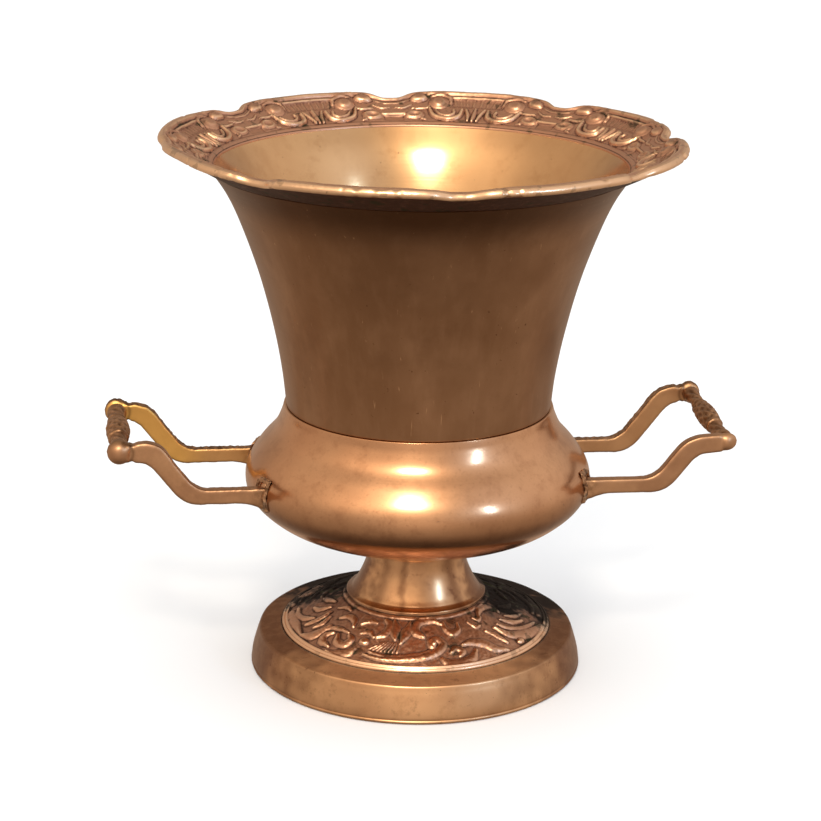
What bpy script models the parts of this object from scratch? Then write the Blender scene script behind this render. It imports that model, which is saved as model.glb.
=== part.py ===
"""Footed brass planter with two raised handles.

A trumpet-shaped bell stands in the collar of a squat bowl. The bowl sits on a waisted stem, and the stem on
a domed foot let into a round plinth. A bolt down the middle holds bowl, stem and foot together. A scalloped
flange lies on the bell's mouth, and each handle is two bent bars joined by a turned grip.
Metres, +Z up. The origin is on the ground under the centre, and the handles point along X.
"""

import bmesh
import bpy
from math import atan2, cos, hypot, pi, radians, sin
from mathutils import Matrix

MM = 0.001
CLEARANCE = 0.3 * MM

# Plinth and foot
BASE_RADIUS = 75.0 * MM
SKIRT_HEIGHT = 15.7 * MM
SKIRT_TAPER = 3.4 * MM
SKIRT_WALL = 3.6 * MM
BAND_RISE = 2.8 * MM
RELIEF_RADIUS = 61.0 * MM
LEDGE_WIDTH = 4.0 * MM
FOOT_TOP = 32.4 * MM
FOOT_WALL = 3.0 * MM

# Stem
STEM_HEIGHT = 26.6 * MM
STEM_LIP_RADIUS = 31.6 * MM
STEM_LIP_HEIGHT = 1.8 * MM
STEM_NECK_RADIUS = 22.4 * MM
STEM_TOP_RADIUS = 24.2 * MM
STEM_BORE_RADIUS = 10.0 * MM

# Bowl
BOWL_HEIGHT = 62.9 * MM
BOWL_RADIUS = 77.1 * MM
BOWL_WALL = 2.0 * MM
FLOOR_RADIUS = 26.0 * MM
WAIST_RADIUS = 59.8 * MM

# Bell
BELL_HEIGHT = 106.0 * MM
BELL_WALL = 1.8 * MM
WAIST_STEP = 1.0 * MM
SPIGOT_DEPTH = 3.5 * MM
MOUTH_RADIUS = 91.1 * MM

# Rim flange
RIM_RADIUS = 113.8 * MM
RIM_RISE = 9.9 * MM
RIM_THICKNESS = 3.2 * MM
RIM_LOBES = 8
RIM_TURN = radians(1.0)
NOTCH_DEPTH = 0.17
NOTCH_HALF_WIDTH = radians(4.2)

# Handles
ARM_SPREAD = 28.6 * MM
ARM_ROOT_HEIGHT = 90.8 * MM
ARM_THICKNESS = 5.2 * MM
ARM_DEPTH = 5.8 * MM
ARM_SWELL = 1.8 * MM
ARM_EDGE = 1.1 * MM
ARM_FLARE = 2.2 * MM
FLARE_LENGTH = 12.0 * MM
ROOT_INSET = 6.0 * MM
ARM_BEND = 13.0 * MM
ARM_SLOPE = radians(52)
ARM_END_SLOPE = radians(5)
ARM_TAIL = 9.0 * MM
HANDLE_OVERHANG = 55.4 * MM
HANDLE_RISE = 20.2 * MM
HANDLE_TWIST = {"left": 1.2 * MM, "right": 3.2 * MM}
BOSS_RADIUS = 4.8 * MM
GRIP_RADIUS = 5.2 * MM
GRIP_NECK_RADIUS = 3.2 * MM
GRIP_END_RADIUS = 4.0 * MM
SOLDER_WIDTH = 2.0 * MM
SOLDER_THICKNESS = 2.0 * MM

# Bolt through the stem
BOLT_RADIUS = 3.0 * MM
BOLT_HEAD_RADIUS = 8.5 * MM
BOLT_HEAD_HEIGHT = 3.2 * MM
BOLT_TAIL = 1.5 * MM
SEAL_RADIUS = 11.0 * MM
SEAL_THICKNESS = 1.4 * MM
FOOT_WASHER_RADIUS = 14.0 * MM
FOOT_WASHER_THICKNESS = 1.6 * MM
NUT_RADIUS = 6.4 * MM
NUT_HEIGHT = 5.0 * MM

# Facets
WIDE_STEPS = 40
RIM_STEPS = 80
NARROW_STEPS = 20

# Heights and reaches worked out from the pieces that they rest on
STEM_BOTTOM = FOOT_TOP + CLEARANCE
FLOOR_UNDERSIDE = STEM_BOTTOM + STEM_HEIGHT + CLEARANCE
WAIST_HEIGHT = FLOOR_UNDERSIDE + BOWL_HEIGHT
BELL_BOTTOM = WAIST_HEIGHT + CLEARANCE
BELL_TOP = BELL_BOTTOM + BELL_HEIGHT
RIM_BOTTOM = BELL_TOP + CLEARANCE
HANDLE_REACH = BOWL_RADIUS + HANDLE_OVERHANG


# --- scene, collections and materials ---

def clear_scene():
    for old in list(bpy.data.objects):
        bpy.data.objects.remove(old, do_unlink=True)


def new_collection(name):
    collection = bpy.data.collections.new(name)
    bpy.context.scene.collection.children.link(collection)
    return collection


def metal(name, colour, roughness, metallic=1.0):
    material = bpy.data.materials.new(name)
    material.use_nodes = True
    shader = material.node_tree.nodes["Principled BSDF"]
    shader.inputs["Base Color"].default_value = (*colour, 1.0)
    shader.inputs["Roughness"].default_value = roughness
    shader.inputs["Metallic"].default_value = metallic
    return material


clear_scene()
PLANTER = new_collection("brass_planter")
CUTTERS = new_collection("cutters")


# --- outlines, in radius and height ---

def smooth_through(points, per_span):
    """Points along a Catmull-Rom curve through the given points, which keeps both ends."""
    ends = [tuple(2 * a - b for a, b in zip(points[0], points[1]))]
    far = [tuple(2 * a - b for a, b in zip(points[-1], points[-2]))]
    knots = ends + list(points) + far
    path = []
    for p0, p1, p2, p3 in zip(knots, knots[1:], knots[2:], knots[3:]):
        for step in range(per_span):
            t = step / per_span
            path.append(tuple(
                0.5 * (2 * b + (c - a) * t + (2 * a - 5 * b + 4 * c - d) * t * t
                       + (3 * b - a - 3 * c + d) * t ** 3)
                for a, b, c, d in zip(p0, p1, p2, p3)))
    return path + [tuple(points[-1])]


def offset_inward(path, distance):
    """The path moved to its own right by a distance: inward for a path that runs down an outer side."""
    moved = []
    for index, (radius, height) in enumerate(path):
        before = path[max(index - 1, 0)]
        after = path[min(index + 1, len(path) - 1)]
        along = (after[0] - before[0], after[1] - before[1])
        length = hypot(*along)
        moved.append((radius + along[1] / length * distance, height - along[0] / length * distance))
    return moved


def bell_outline():
    """The bell's outer side from the mouth down to its shoulder on the bowl's collar."""
    waist = WAIST_RADIUS - WAIST_STEP
    flare = MOUTH_RADIUS - waist
    shares = ((1.0, 1.0), (0.9, 0.79), (0.77, 0.6), (0.56, 0.36), (0.33, 0.165), (0.15, 0.055), (0.0, 0.0))
    points = [(waist + share * flare, BELL_BOTTOM + up * BELL_HEIGHT) for up, share in shares]
    return points


def bowl_outline(grow=0.0):
    """The bowl's outer side from the collar's edge down to the flat floor."""
    belly = BOWL_RADIUS - WAIST_RADIUS
    upper = ((1.0, 0.0), (0.93, 0.07), (0.82, 0.26), (0.71, 0.61), (0.595, 0.895), (0.49, 1.0))
    lower = ((0.375, 0.976), (0.27, 0.873), (0.17, 0.69), (0.09, 0.4), (0.0, 0.0))
    points = [(WAIST_RADIUS + share * belly, FLOOR_UNDERSIDE + up * BOWL_HEIGHT) for up, share in upper]
    points += [(FLOOR_RADIUS + share * (BOWL_RADIUS - FLOOR_RADIUS), FLOOR_UNDERSIDE + up * BOWL_HEIGHT)
               for up, share in lower]
    return offset_inward(points, -grow)


def foot_outline():
    """The foot's outer side from the stem's seat down to the rim of the relief."""
    fall = FOOT_TOP - SKIRT_HEIGHT - BAND_RISE
    run = RELIEF_RADIUS - STEM_LIP_RADIUS
    shares = ((0.0, 0.0), (0.35, 0.30), (0.7, 0.66), (1.0, 1.0))
    return [(STEM_LIP_RADIUS + out * run, FOOT_TOP - down * fall) for out, down in shares]


# --- turned pieces ---

def link(name, mesh, collection=None):
    piece = bpy.data.objects.new(name, mesh)
    (collection or PLANTER).objects.link(piece)
    if collection == CUTTERS:
        piece.hide_render = True
        piece.display_type = "WIRE"
    return piece


def turn(name, outline, steps, closed=True, collection=None):
    """Turns an outline about Z. It runs down the outer side first, and closes on itself or on the axis."""
    mesh = bpy.data.meshes.new(name)
    edges = [(index, index + 1) for index in range(len(outline) - 1)]
    if closed:
        edges.append((len(outline) - 1, 0))
    mesh.from_pydata([(radius, 0.0, height) for radius, height in outline], edges, [])
    piece = link(name, mesh, collection)
    screw = piece.modifiers.new("turned", "SCREW")
    screw.angle = 2 * pi
    screw.steps = screw.render_steps = steps
    screw.use_merge_vertices = True
    screw.merge_threshold = 0.00001
    screw.use_smooth_shade = True
    return piece


def ring(name, inner, outer, bottom, top, steps):
    return turn(name, [(outer, top), (outer, bottom), (inner, bottom), (inner, top)], steps)


def baked(piece):
    """Replaces a piece's modifiers, or a curve, by the mesh that they give."""
    evaluated = piece.evaluated_get(bpy.context.evaluated_depsgraph_get())
    mesh = bpy.data.meshes.new_from_object(evaluated)
    shape = bmesh.new()
    shape.from_mesh(mesh)
    bmesh.ops.remove_doubles(shape, verts=shape.verts, dist=0.000001)
    bmesh.ops.recalc_face_normals(shape, faces=shape.faces)
    shape.to_mesh(mesh)
    shape.free()
    mesh.shade_smooth()
    mesh.set_sharp_from_angle(angle=radians(35))
    mesh.transform(piece.matrix_world)
    name, collection = piece.name, piece.users_collection[0]
    bpy.data.objects.remove(piece, do_unlink=True)
    return link(name, mesh, collection)


def boolean(piece, cutter, operation="DIFFERENCE"):
    cut = piece.modifiers.new(cutter.name, "BOOLEAN")
    cut.object = cutter
    cut.operation = operation
    cut.solver = "EXACT"


def make_plinth():
    top = SKIRT_HEIGHT + BAND_RISE
    edge = BASE_RADIUS - SKIRT_TAPER
    opening = RELIEF_RADIUS + CLEARANCE
    ledge_top = top - FOOT_WALL - CLEARANCE
    outer = [(opening, top), (edge - 1.6 * MM, SKIRT_HEIGHT + 0.5 * MM), (edge, SKIRT_HEIGHT - 0.7 * MM),
             (BASE_RADIUS - 1.9 * MM, 0.68 * SKIRT_HEIGHT), (BASE_RADIUS - 0.5 * MM, 0.33 * SKIRT_HEIGHT),
             (BASE_RADIUS, 1.8 * MM), (BASE_RADIUS, 0.0)]
    hollow_top = ledge_top - FOOT_WALL
    inner = [(BASE_RADIUS - SKIRT_WALL, 0.0), (edge - SKIRT_WALL, hollow_top - 1.5 * MM),
             (opening - LEDGE_WIDTH, hollow_top), (opening - LEDGE_WIDTH, ledge_top), (opening, ledge_top)]
    return turn("plinth", outer + inner, WIDE_STEPS)


def make_foot():
    outer = foot_outline()
    edge_bottom = outer[-1][1] - FOOT_WALL
    underside = offset_inward(outer, FOOT_WALL)[1:-1]
    hole = BOLT_RADIUS + CLEARANCE
    outline = [(hole, FOOT_TOP)] + outer + [(RELIEF_RADIUS, edge_bottom)]
    outline += [(RELIEF_RADIUS - 0.75 * LEDGE_WIDTH, edge_bottom)] + underside[::-1]
    outline += [(STEM_LIP_RADIUS - FOOT_WALL, FOOT_TOP - FOOT_WALL), (hole, FOOT_TOP - FOOT_WALL)]
    return turn("foot", outline, WIDE_STEPS)


def make_stem():
    top = STEM_BOTTOM + STEM_HEIGHT
    lip_top = STEM_BOTTOM + STEM_LIP_HEIGHT
    waist = [(STEM_NECK_RADIUS, top - 4.0 * MM), (STEM_NECK_RADIUS + 0.2 * MM, top - 10.0 * MM),
             (STEM_NECK_RADIUS + 1.9 * MM, STEM_BOTTOM + 12.0 * MM),
             (STEM_NECK_RADIUS + 5.0 * MM, STEM_BOTTOM + 5.4 * MM), (STEM_LIP_RADIUS - 2.0 * MM, lip_top)]
    outer = [(STEM_TOP_RADIUS, top), (STEM_TOP_RADIUS, top - 1.2 * MM)] + smooth_through(waist, 2)
    outer += [(STEM_LIP_RADIUS, lip_top - 0.4 * MM), (STEM_LIP_RADIUS, STEM_BOTTOM)]
    bore = [(STEM_BORE_RADIUS, STEM_BOTTOM), (STEM_BORE_RADIUS, top)]
    return turn("stem", outer + bore, WIDE_STEPS)


def make_bowl():
    outer = bowl_outline()
    hole = BOLT_RADIUS + CLEARANCE
    inner = offset_inward(outer, BOWL_WALL)
    inner[0] = (WAIST_RADIUS - BOWL_WALL, WAIST_HEIGHT)
    inner[-1] = (FLOOR_RADIUS - 0.5 * BOWL_WALL, FLOOR_UNDERSIDE + BOWL_WALL)
    floor = [(hole, FLOOR_UNDERSIDE), (hole, FLOOR_UNDERSIDE + BOWL_WALL)]
    return turn("bowl", outer + floor + inner[::-1], WIDE_STEPS)


def make_bell():
    outer = bell_outline()
    inner = offset_inward(outer, BELL_WALL)
    inner[0] = (MOUTH_RADIUS - BELL_WALL, BELL_TOP)
    spigot = WAIST_RADIUS - BOWL_WALL - CLEARANCE
    bottom = WAIST_HEIGHT - SPIGOT_DEPTH
    socket = [(spigot, BELL_BOTTOM), (spigot, bottom), (spigot - BELL_WALL, bottom),
              (spigot - BELL_WALL, BELL_BOTTOM + BELL_WALL)]
    return turn("bell", outer + socket + inner[-2::-1], WIDE_STEPS)


def lobe_share(angle):
    """How far the rim reaches at an angle, as a share of its width: 1 on a lobe and less in a notch."""
    pitch = 2 * pi / RIM_LOBES
    from_notch = (angle - RIM_TURN + pitch / 2) % pitch - pitch / 2
    dip = 1.0 / (1.0 + (from_notch / NOTCH_HALF_WIDTH) ** 4)
    crown = 0.02 * cos(2 * pi * from_notch / pitch)
    return 1.0 - NOTCH_DEPTH * dip - crown


def make_rim():
    """A flange that rises outward from the bell's mouth, turned and then drawn in at each notch."""
    seat = MOUTH_RADIUS - BELL_WALL
    width = RIM_RADIUS - seat
    rising = [(1.0, 1.0), (0.82, 0.86), (0.55, 0.5), (0.25, 0.14), (0.09, 0.0)]
    under = [(seat + out * width, RIM_BOTTOM + up * RIM_RISE) for out, up in rising]
    upper = offset_inward(under, RIM_THICKNESS)
    upper[0] = (RIM_RADIUS - 0.8 * MM, under[0][1] + 0.9 * RIM_THICKNESS)
    outline = [(seat, RIM_BOTTOM + 0.8 * RIM_THICKNESS)] + upper[::-1] + under + [(seat, RIM_BOTTOM)]
    rim = baked(turn("rim", outline, RIM_STEPS))
    for vertex in rim.data.vertices:
        spot = vertex.co
        radius = hypot(spot.x, spot.y)
        share = lobe_share(atan2(spot.y, spot.x))
        reach = seat + (radius - seat) * share
        spot.xy = spot.xy * (reach / radius)
        spot.z = RIM_BOTTOM + (spot.z - RIM_BOTTOM) * (1.0 - (1.0 - share) * (radius - seat) / width)
    return rim


# --- handles ---

def arm_centreline(rise):
    """Points and headings of an arm's middle line: level from the bowl, up an S bend, and out to its end."""
    turned_up = ARM_BEND * (1 - cos(ARM_SLOPE))
    turned_level = ARM_BEND * (cos(ARM_END_SLOPE) - cos(ARM_SLOPE))
    straight = (rise - turned_up - turned_level - ARM_TAIL * sin(ARM_END_SLOPE)) / sin(ARM_SLOPE)
    bend_run = ARM_BEND * (2 * sin(ARM_SLOPE) - sin(ARM_END_SLOPE))
    run = bend_run + straight * cos(ARM_SLOPE) + ARM_TAIL * cos(ARM_END_SLOPE)
    bend_start = HANDLE_REACH - run
    foot = BOWL_RADIUS - ROOT_INSET
    line = [(x, ARM_ROOT_HEIGHT, 0.0)
            for x in (foot - ROOT_INSET, foot, foot + FLARE_LENGTH / 2, foot + FLARE_LENGTH)]
    bend_steps = 5
    for step in range(bend_steps + 1):
        angle = ARM_SLOPE * step / bend_steps
        line.append((bend_start + ARM_BEND * sin(angle), ARM_ROOT_HEIGHT + ARM_BEND * (1 - cos(angle)), angle))
    x, z = line[-1][0] + straight * cos(ARM_SLOPE), line[-1][1] + straight * sin(ARM_SLOPE)
    for step in range(bend_steps + 1):
        angle = ARM_SLOPE + (ARM_END_SLOPE - ARM_SLOPE) * step / bend_steps
        line.append((x + ARM_BEND * (sin(ARM_SLOPE) - sin(angle)),
                     z + ARM_BEND * (cos(angle) - cos(ARM_SLOPE)), angle))
    return line


def arm_half_depth(x, angle):
    """Half the arm's depth: it flares where it meets the bowl, and swells through the S bend."""
    flare = max(0.0, 1.0 - (x - BOWL_RADIUS + ROOT_INSET) / FLARE_LENGTH)
    swell = min(1.0, angle / (0.6 * ARM_SLOPE))
    return (ARM_DEPTH + ARM_SWELL * swell) / 2 + ARM_FLARE * min(flare, 1.2) ** 2


def arm_outline(rise, grow):
    centreline = arm_centreline(rise)
    upper, lower = [], []
    for x, z, angle in centreline:
        half = arm_half_depth(x, angle) + grow
        upper.append((x - half * sin(angle), z + half * cos(angle)))
        lower.append((x + half * sin(angle), z - half * cos(angle)))
    boss = (HANDLE_REACH, ARM_ROOT_HEIGHT + rise)
    round_steps = 8
    first, last = radians(125), radians(-125)
    end = []
    for step in range(round_steps + 1):
        angle = first + (last - first) * step / round_steps + ARM_END_SLOPE
        end.append((boss[0] + (BOSS_RADIUS + grow) * cos(angle), boss[1] + (BOSS_RADIUS + grow) * sin(angle)))
    return upper + end + lower[::-1]


def make_arm(name, side, back, rise, grow=0.0, collection=None):
    """A flat bar bent in an upright plane. side is +1 or -1 along X, and back is +1 or -1 along Y."""
    curve = bpy.data.curves.new(name, "CURVE")
    curve.dimensions = "2D"
    curve.fill_mode = "BOTH"
    curve.extrude = ARM_THICKNESS / 2 + grow - ARM_EDGE
    curve.bevel_depth = ARM_EDGE
    curve.bevel_resolution = 1
    curve.offset = -ARM_EDGE
    outline = arm_outline(rise, grow)
    spline = curve.splines.new("POLY")
    spline.points.add(len(outline) - 1)
    for point, (x, z) in zip(spline.points, outline):
        point.co = (side * x, z, 0.0, 1.0)
    spline.use_cyclic_u = True
    arm = bpy.data.objects.new(name, curve)
    (collection or PLANTER).objects.link(arm)
    arm.rotation_euler = (pi / 2, 0.0, 0.0)
    arm.location.y = back * ARM_SPREAD
    bpy.context.view_layer.update()
    return baked(arm)


def make_grip(name, side, twist):
    """A turned bar with a knob between two necks, lying along Y between the two arms' ends."""
    tilt = atan2(twist, 2 * ARM_SPREAD)
    half = ARM_SPREAD - ARM_THICKNESS / 2 - CLEARANCE - GRIP_END_RADIUS * sin(tilt)
    knob_half = 0.27 * half
    outline = [(0.0, half), (GRIP_END_RADIUS, half), (GRIP_END_RADIUS, 0.86 * half),
               (GRIP_NECK_RADIUS, 0.74 * half), (GRIP_NECK_RADIUS, 1.7 * knob_half),
               (0.82 * GRIP_RADIUS, 1.4 * knob_half), (0.82 * GRIP_RADIUS, 1.15 * knob_half),
               (GRIP_RADIUS, 0.6 * knob_half), (GRIP_RADIUS * 1.04, 0.0)]
    outline += [(radius, -along) for radius, along in outline[-2::-1]]
    grip = turn(name, outline, NARROW_STEPS, closed=False)
    grip.rotation_euler = (pi / 2 + tilt, 0.0, 0.0)
    grip.location = (side * HANDLE_REACH, 0.0, ARM_ROOT_HEIGHT + HANDLE_RISE)
    return grip


def bowl_cutter(name, grow):
    """The bowl as a solid, grown by a distance, for cutting what meets its outside."""
    outline = bowl_outline(grow)
    top = outline[0][1]
    bottom = outline[-1][1]
    return turn(name, [(0.0, top)] + outline + [(0.0, bottom)], WIDE_STEPS, closed=False, collection=CUTTERS)


def make_handle(word, side, bowl_clear, bowl_solder):
    pieces = []
    twist = HANDLE_TWIST[word]
    for place, back in (("front", -1), ("back", 1)):
        rise = HANDLE_RISE + back * twist / 2
        arm = make_arm(f"{word}_{place}_arm", side, back, rise)
        boolean(arm, bowl_clear)
        arm_clear = make_arm(f"{word}_{place}_arm_clear", side, back, rise, CLEARANCE, CUTTERS)
        solder = make_arm(f"{word}_{place}_solder", side, back, rise, SOLDER_WIDTH)
        boolean(solder, bowl_solder, "INTERSECT")
        boolean(solder, bowl_clear)
        boolean(solder, arm_clear)
        pieces.append((arm, solder))
    return pieces, make_grip(f"{word}_grip", side, twist)


# --- bolt through the stem ---

def make_tie_bolt():
    seat = FLOOR_UNDERSIDE + BOWL_WALL + SEAL_THICKNESS + 2 * CLEARANCE
    end = nut_bottom() - BOLT_TAIL
    dome = [(BOLT_HEAD_RADIUS * sin(angle), seat + BOLT_HEAD_HEIGHT * (0.3 + 0.7 * cos(angle)))
            for angle in (0.0, radians(30), radians(60), radians(90))]
    outline = dome + [(BOLT_HEAD_RADIUS, seat), (BOLT_RADIUS, seat), (BOLT_RADIUS, end), (0.0, end)]
    return turn("tie_bolt", outline, NARROW_STEPS, closed=False)


def make_seal():
    bottom = FLOOR_UNDERSIDE + BOWL_WALL + CLEARANCE
    return ring("seal_washer", BOLT_RADIUS + CLEARANCE, SEAL_RADIUS, bottom, bottom + SEAL_THICKNESS, NARROW_STEPS)


def foot_washer_top():
    return FOOT_TOP - FOOT_WALL - CLEARANCE


def nut_bottom():
    return foot_washer_top() - FOOT_WASHER_THICKNESS - CLEARANCE - NUT_HEIGHT


def make_foot_washer():
    top = foot_washer_top()
    return ring("foot_washer", BOLT_RADIUS + CLEARANCE, FOOT_WASHER_RADIUS,
                top - FOOT_WASHER_THICKNESS, top, NARROW_STEPS)


def cylinder(name, radius, height, bottom, sides, collection=None):
    mesh = bpy.data.meshes.new(name)
    shape = bmesh.new()
    middle = Matrix.Translation((0.0, 0.0, bottom + height / 2))
    bmesh.ops.create_cone(shape, cap_ends=True, segments=sides, radius1=radius, radius2=radius,
                          depth=height, matrix=middle)
    shape.to_mesh(mesh)
    shape.free()
    return link(name, mesh, collection)


def make_nut():
    nut = cylinder("foot_nut", NUT_RADIUS, NUT_HEIGHT, nut_bottom(), 6)
    bore = cylinder("nut_bore", BOLT_RADIUS + CLEARANCE, 3 * NUT_HEIGHT, nut_bottom() - NUT_HEIGHT,
                    NARROW_STEPS, CUTTERS)
    boolean(nut, bore)
    return nut


# --- the whole planter ---

cast_brass = metal("cast_brass", (0.48, 0.27, 0.13), 0.38)
spun_brass = metal("spun_brass", (0.56, 0.34, 0.16), 0.27)
handle_brass = metal("handle_brass", (0.52, 0.33, 0.17), 0.36)
steel = metal("plated_steel", (0.45, 0.44, 0.42), 0.4)
solder = metal("solder", (0.42, 0.36, 0.30), 0.5)
rubber = metal("seal_rubber", (0.04, 0.04, 0.04), 0.8, metallic=0.0)

for piece in (make_plinth(), make_foot(), make_stem(), make_rim()):
    piece.data.materials.append(cast_brass)
for piece in (make_bowl(), make_bell()):
    piece.data.materials.append(spun_brass)
for piece in (make_tie_bolt(), make_foot_washer(), make_nut()):
    piece.data.materials.append(steel)
make_seal().data.materials.append(rubber)

clear_cutter = bowl_cutter("bowl_clear", CLEARANCE)
solder_cutter = bowl_cutter("bowl_solder", SOLDER_THICKNESS)
for word, side in (("left", -1), ("right", 1)):
    joined, grip = make_handle(word, side, clear_cutter, solder_cutter)
    grip.data.materials.append(handle_brass)
    for arm, bead in joined:
        arm.data.materials.append(handle_brass)
        bead.data.materials.append(solder)
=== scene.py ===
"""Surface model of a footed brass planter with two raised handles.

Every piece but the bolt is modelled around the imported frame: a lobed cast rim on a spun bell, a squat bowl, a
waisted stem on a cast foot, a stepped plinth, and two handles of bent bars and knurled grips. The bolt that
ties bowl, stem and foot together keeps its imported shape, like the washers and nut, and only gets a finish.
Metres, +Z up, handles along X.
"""

from collections import namedtuple
from math import ceil, cos, pi, radians, sin

import bpy
import numpy as np
from mathutils import Matrix, Vector, noise


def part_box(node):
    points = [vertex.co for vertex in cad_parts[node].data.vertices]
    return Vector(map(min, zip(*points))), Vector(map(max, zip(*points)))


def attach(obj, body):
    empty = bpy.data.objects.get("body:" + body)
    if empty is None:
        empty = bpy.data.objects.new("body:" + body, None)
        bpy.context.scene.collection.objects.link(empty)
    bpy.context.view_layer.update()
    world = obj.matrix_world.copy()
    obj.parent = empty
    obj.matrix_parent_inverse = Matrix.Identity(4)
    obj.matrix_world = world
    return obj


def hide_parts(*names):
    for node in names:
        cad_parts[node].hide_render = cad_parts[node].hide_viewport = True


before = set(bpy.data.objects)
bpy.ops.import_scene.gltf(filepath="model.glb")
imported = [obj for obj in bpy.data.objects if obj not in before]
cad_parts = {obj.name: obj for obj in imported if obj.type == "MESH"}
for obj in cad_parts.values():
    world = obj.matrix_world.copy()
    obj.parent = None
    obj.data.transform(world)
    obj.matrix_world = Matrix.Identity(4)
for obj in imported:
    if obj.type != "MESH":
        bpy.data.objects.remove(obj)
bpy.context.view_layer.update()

MM = 0.001
GAP = 0.3 * MM

# Walls and edges that the frame's boxes don't give
BELL_WALL = 1.8 * MM
BOWL_WALL = 2.0 * MM
COLLAR_RADIUS = 59.8 * MM
COLLAR_STEP = 1.0 * MM
BOWL_FLOOR_RADIUS = 26.0 * MM
BORE_RADIUS = 3.3 * MM
STEM_BORE_RADIUS = 10.0 * MM
STEM_TOP_RADIUS = 24.2 * MM
STEM_TOP_ROUND = 0.65 * MM
RIM_RADIUS = 113.8 * MM
RIM_RISE = 9.9 * MM
RIM_THICKNESS = 3.2 * MM
RIM_LOBES = 8
RIM_TURN = radians(1.0)
NOTCH_DEPTH = 0.17
NOTCH_HALF_WIDTH = radians(4.2)
FOOT_WALL = 3.0 * MM
SKIRT_WALL = 3.6 * MM
ARM_SPREAD = 28.6 * MM
ARM_THICKNESS = 5.2 * MM
ARM_ROOT_HEIGHT = 90.8 * MM
ARM_START = 70.9 * MM
ARM_DEPTH = 5.8 * MM
ARM_SWELL = 1.8 * MM
ARM_FLARE = 1.6 * MM
FLARE_LENGTH = 12.0 * MM
ARM_BEND = 13.0 * MM
ARM_SLOPE = radians(52)
ARM_END_SLOPE = radians(5)
BOSS_RADIUS = 4.8 * MM

# How finely things are modelled
SECTORS = 8
SHELL_STEPS = 256
STEM_STEPS = 192
FOOT_STEPS = 1080
RIM_STEPS = 1280
GRIP_STEPS = 96
ARM_RING = 40
ARM_STATION = 0.6 * MM

# The raised patterns are drawn flat in millimetres: the radius where each is true to length, and how wide it is
RIM_ART_RADIUS = 102.0
RIM_ART_WIDTH = 27.0
FOOT_ART_RADIUS = 46.5
FOOT_ART_INNER, FOOT_ART_OUTER = 31.0, 60.0

# The two beads round the foot's edge
BEAD_BAND = 2.9 * MM
BEAD_RADII = (59.0 * MM, 60.4 * MM)

# The rim is knocked in and up at its left end, and one notch there is shallow
BENT_IN_AT, BENT_IN_REACH, BENT_IN = radians(198.0), radians(13.0), 0.11
BENT_UP_AT, BENT_UP_REACH, BENT_UP = radians(200.0), radians(14.0), 1.8 * MM
SHALLOW_NOTCH = 0.6

# Dark reflections painted down the stem as streaks: middle and width in degrees of turn, and how dark
STEM_DARK_REFLECTIONS = ((250.0, 5.0, 0.75), (266.0, 13.0, 0.5), (303.0, 11.0, 0.85), (226.0, 7.0, 0.6))

LEFT, RIGHT = -1, 1
FRONT, BACK = -1, 1

# No two arms are alike: the end ball's radius, the end's shift out and up from the CAD's, the length of the
# last stretch, the hump on it, and how rough the casting is
ArmTraits = namedtuple("ArmTraits", "ball out up tail hump roughness")
ARM_TRAITS = {
    (LEFT, FRONT): ArmTraits(5.4 * MM, 0.0 * MM, 1.5 * MM, 9.0 * MM, 1.7 * MM, 0.35),
    (LEFT, BACK): ArmTraits(5.4 * MM, 1.1 * MM, 1.2 * MM, 5.6 * MM, 0.6 * MM, 1.0),
    (RIGHT, BACK): ArmTraits(4.9 * MM, -2.5 * MM, 2.8 * MM, 6.5 * MM, 0.4 * MM, 0.8),
    (RIGHT, FRONT): ArmTraits(3.6 * MM, 1.2 * MM, 0.3 * MM, 10.0 * MM, 0.2 * MM, 0.15),
}
CREASED_BALL = 4.5 * MM


def span(node):
    """A turned node's outer radius, bottom and top."""
    low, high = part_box(node)
    return high.x, low.z, high.z


BELL_RADIUS, BELL_BOTTOM, BELL_TOP = span("bell")
BOWL_RADIUS, BOWL_BOTTOM, BOWL_TOP = span("bowl")
STEM_RADIUS, STEM_BOTTOM, STEM_TOP = span("stem")
FOOT_RADIUS, FOOT_BOTTOM, FOOT_TOP = span("foot")
BASE_RADIUS, _, BASE_TOP = span("plinth")
RIM_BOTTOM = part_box("rim")[0].z
SHOULDER = BOWL_TOP + GAP
SEAT_RADIUS = BELL_RADIUS - BELL_WALL


# --- camera ---

LENS = 104.1
CAMERA_AZIMUTH = radians(-7.0)
CAMERA_PITCH = radians(17.36)
CAMERA_ROLL = radians(0.75)
CAMERA_REACH = 1009.6 * MM
CAMERA_SIDE = -3.5 * MM
CAMERA_HEIGHT = 433.9 * MM


def around(azimuth, elevation, distance, centre=(0.0, 0.0, 0.0)):
    """A point at a distance from the centre. Azimuth 0 is the camera's side, and 90 is to its right."""
    turn = CAMERA_AZIMUTH + azimuth
    level = distance * cos(elevation)
    return Vector(centre) + Vector((level * sin(turn), -level * cos(turn), distance * sin(elevation)))


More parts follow.
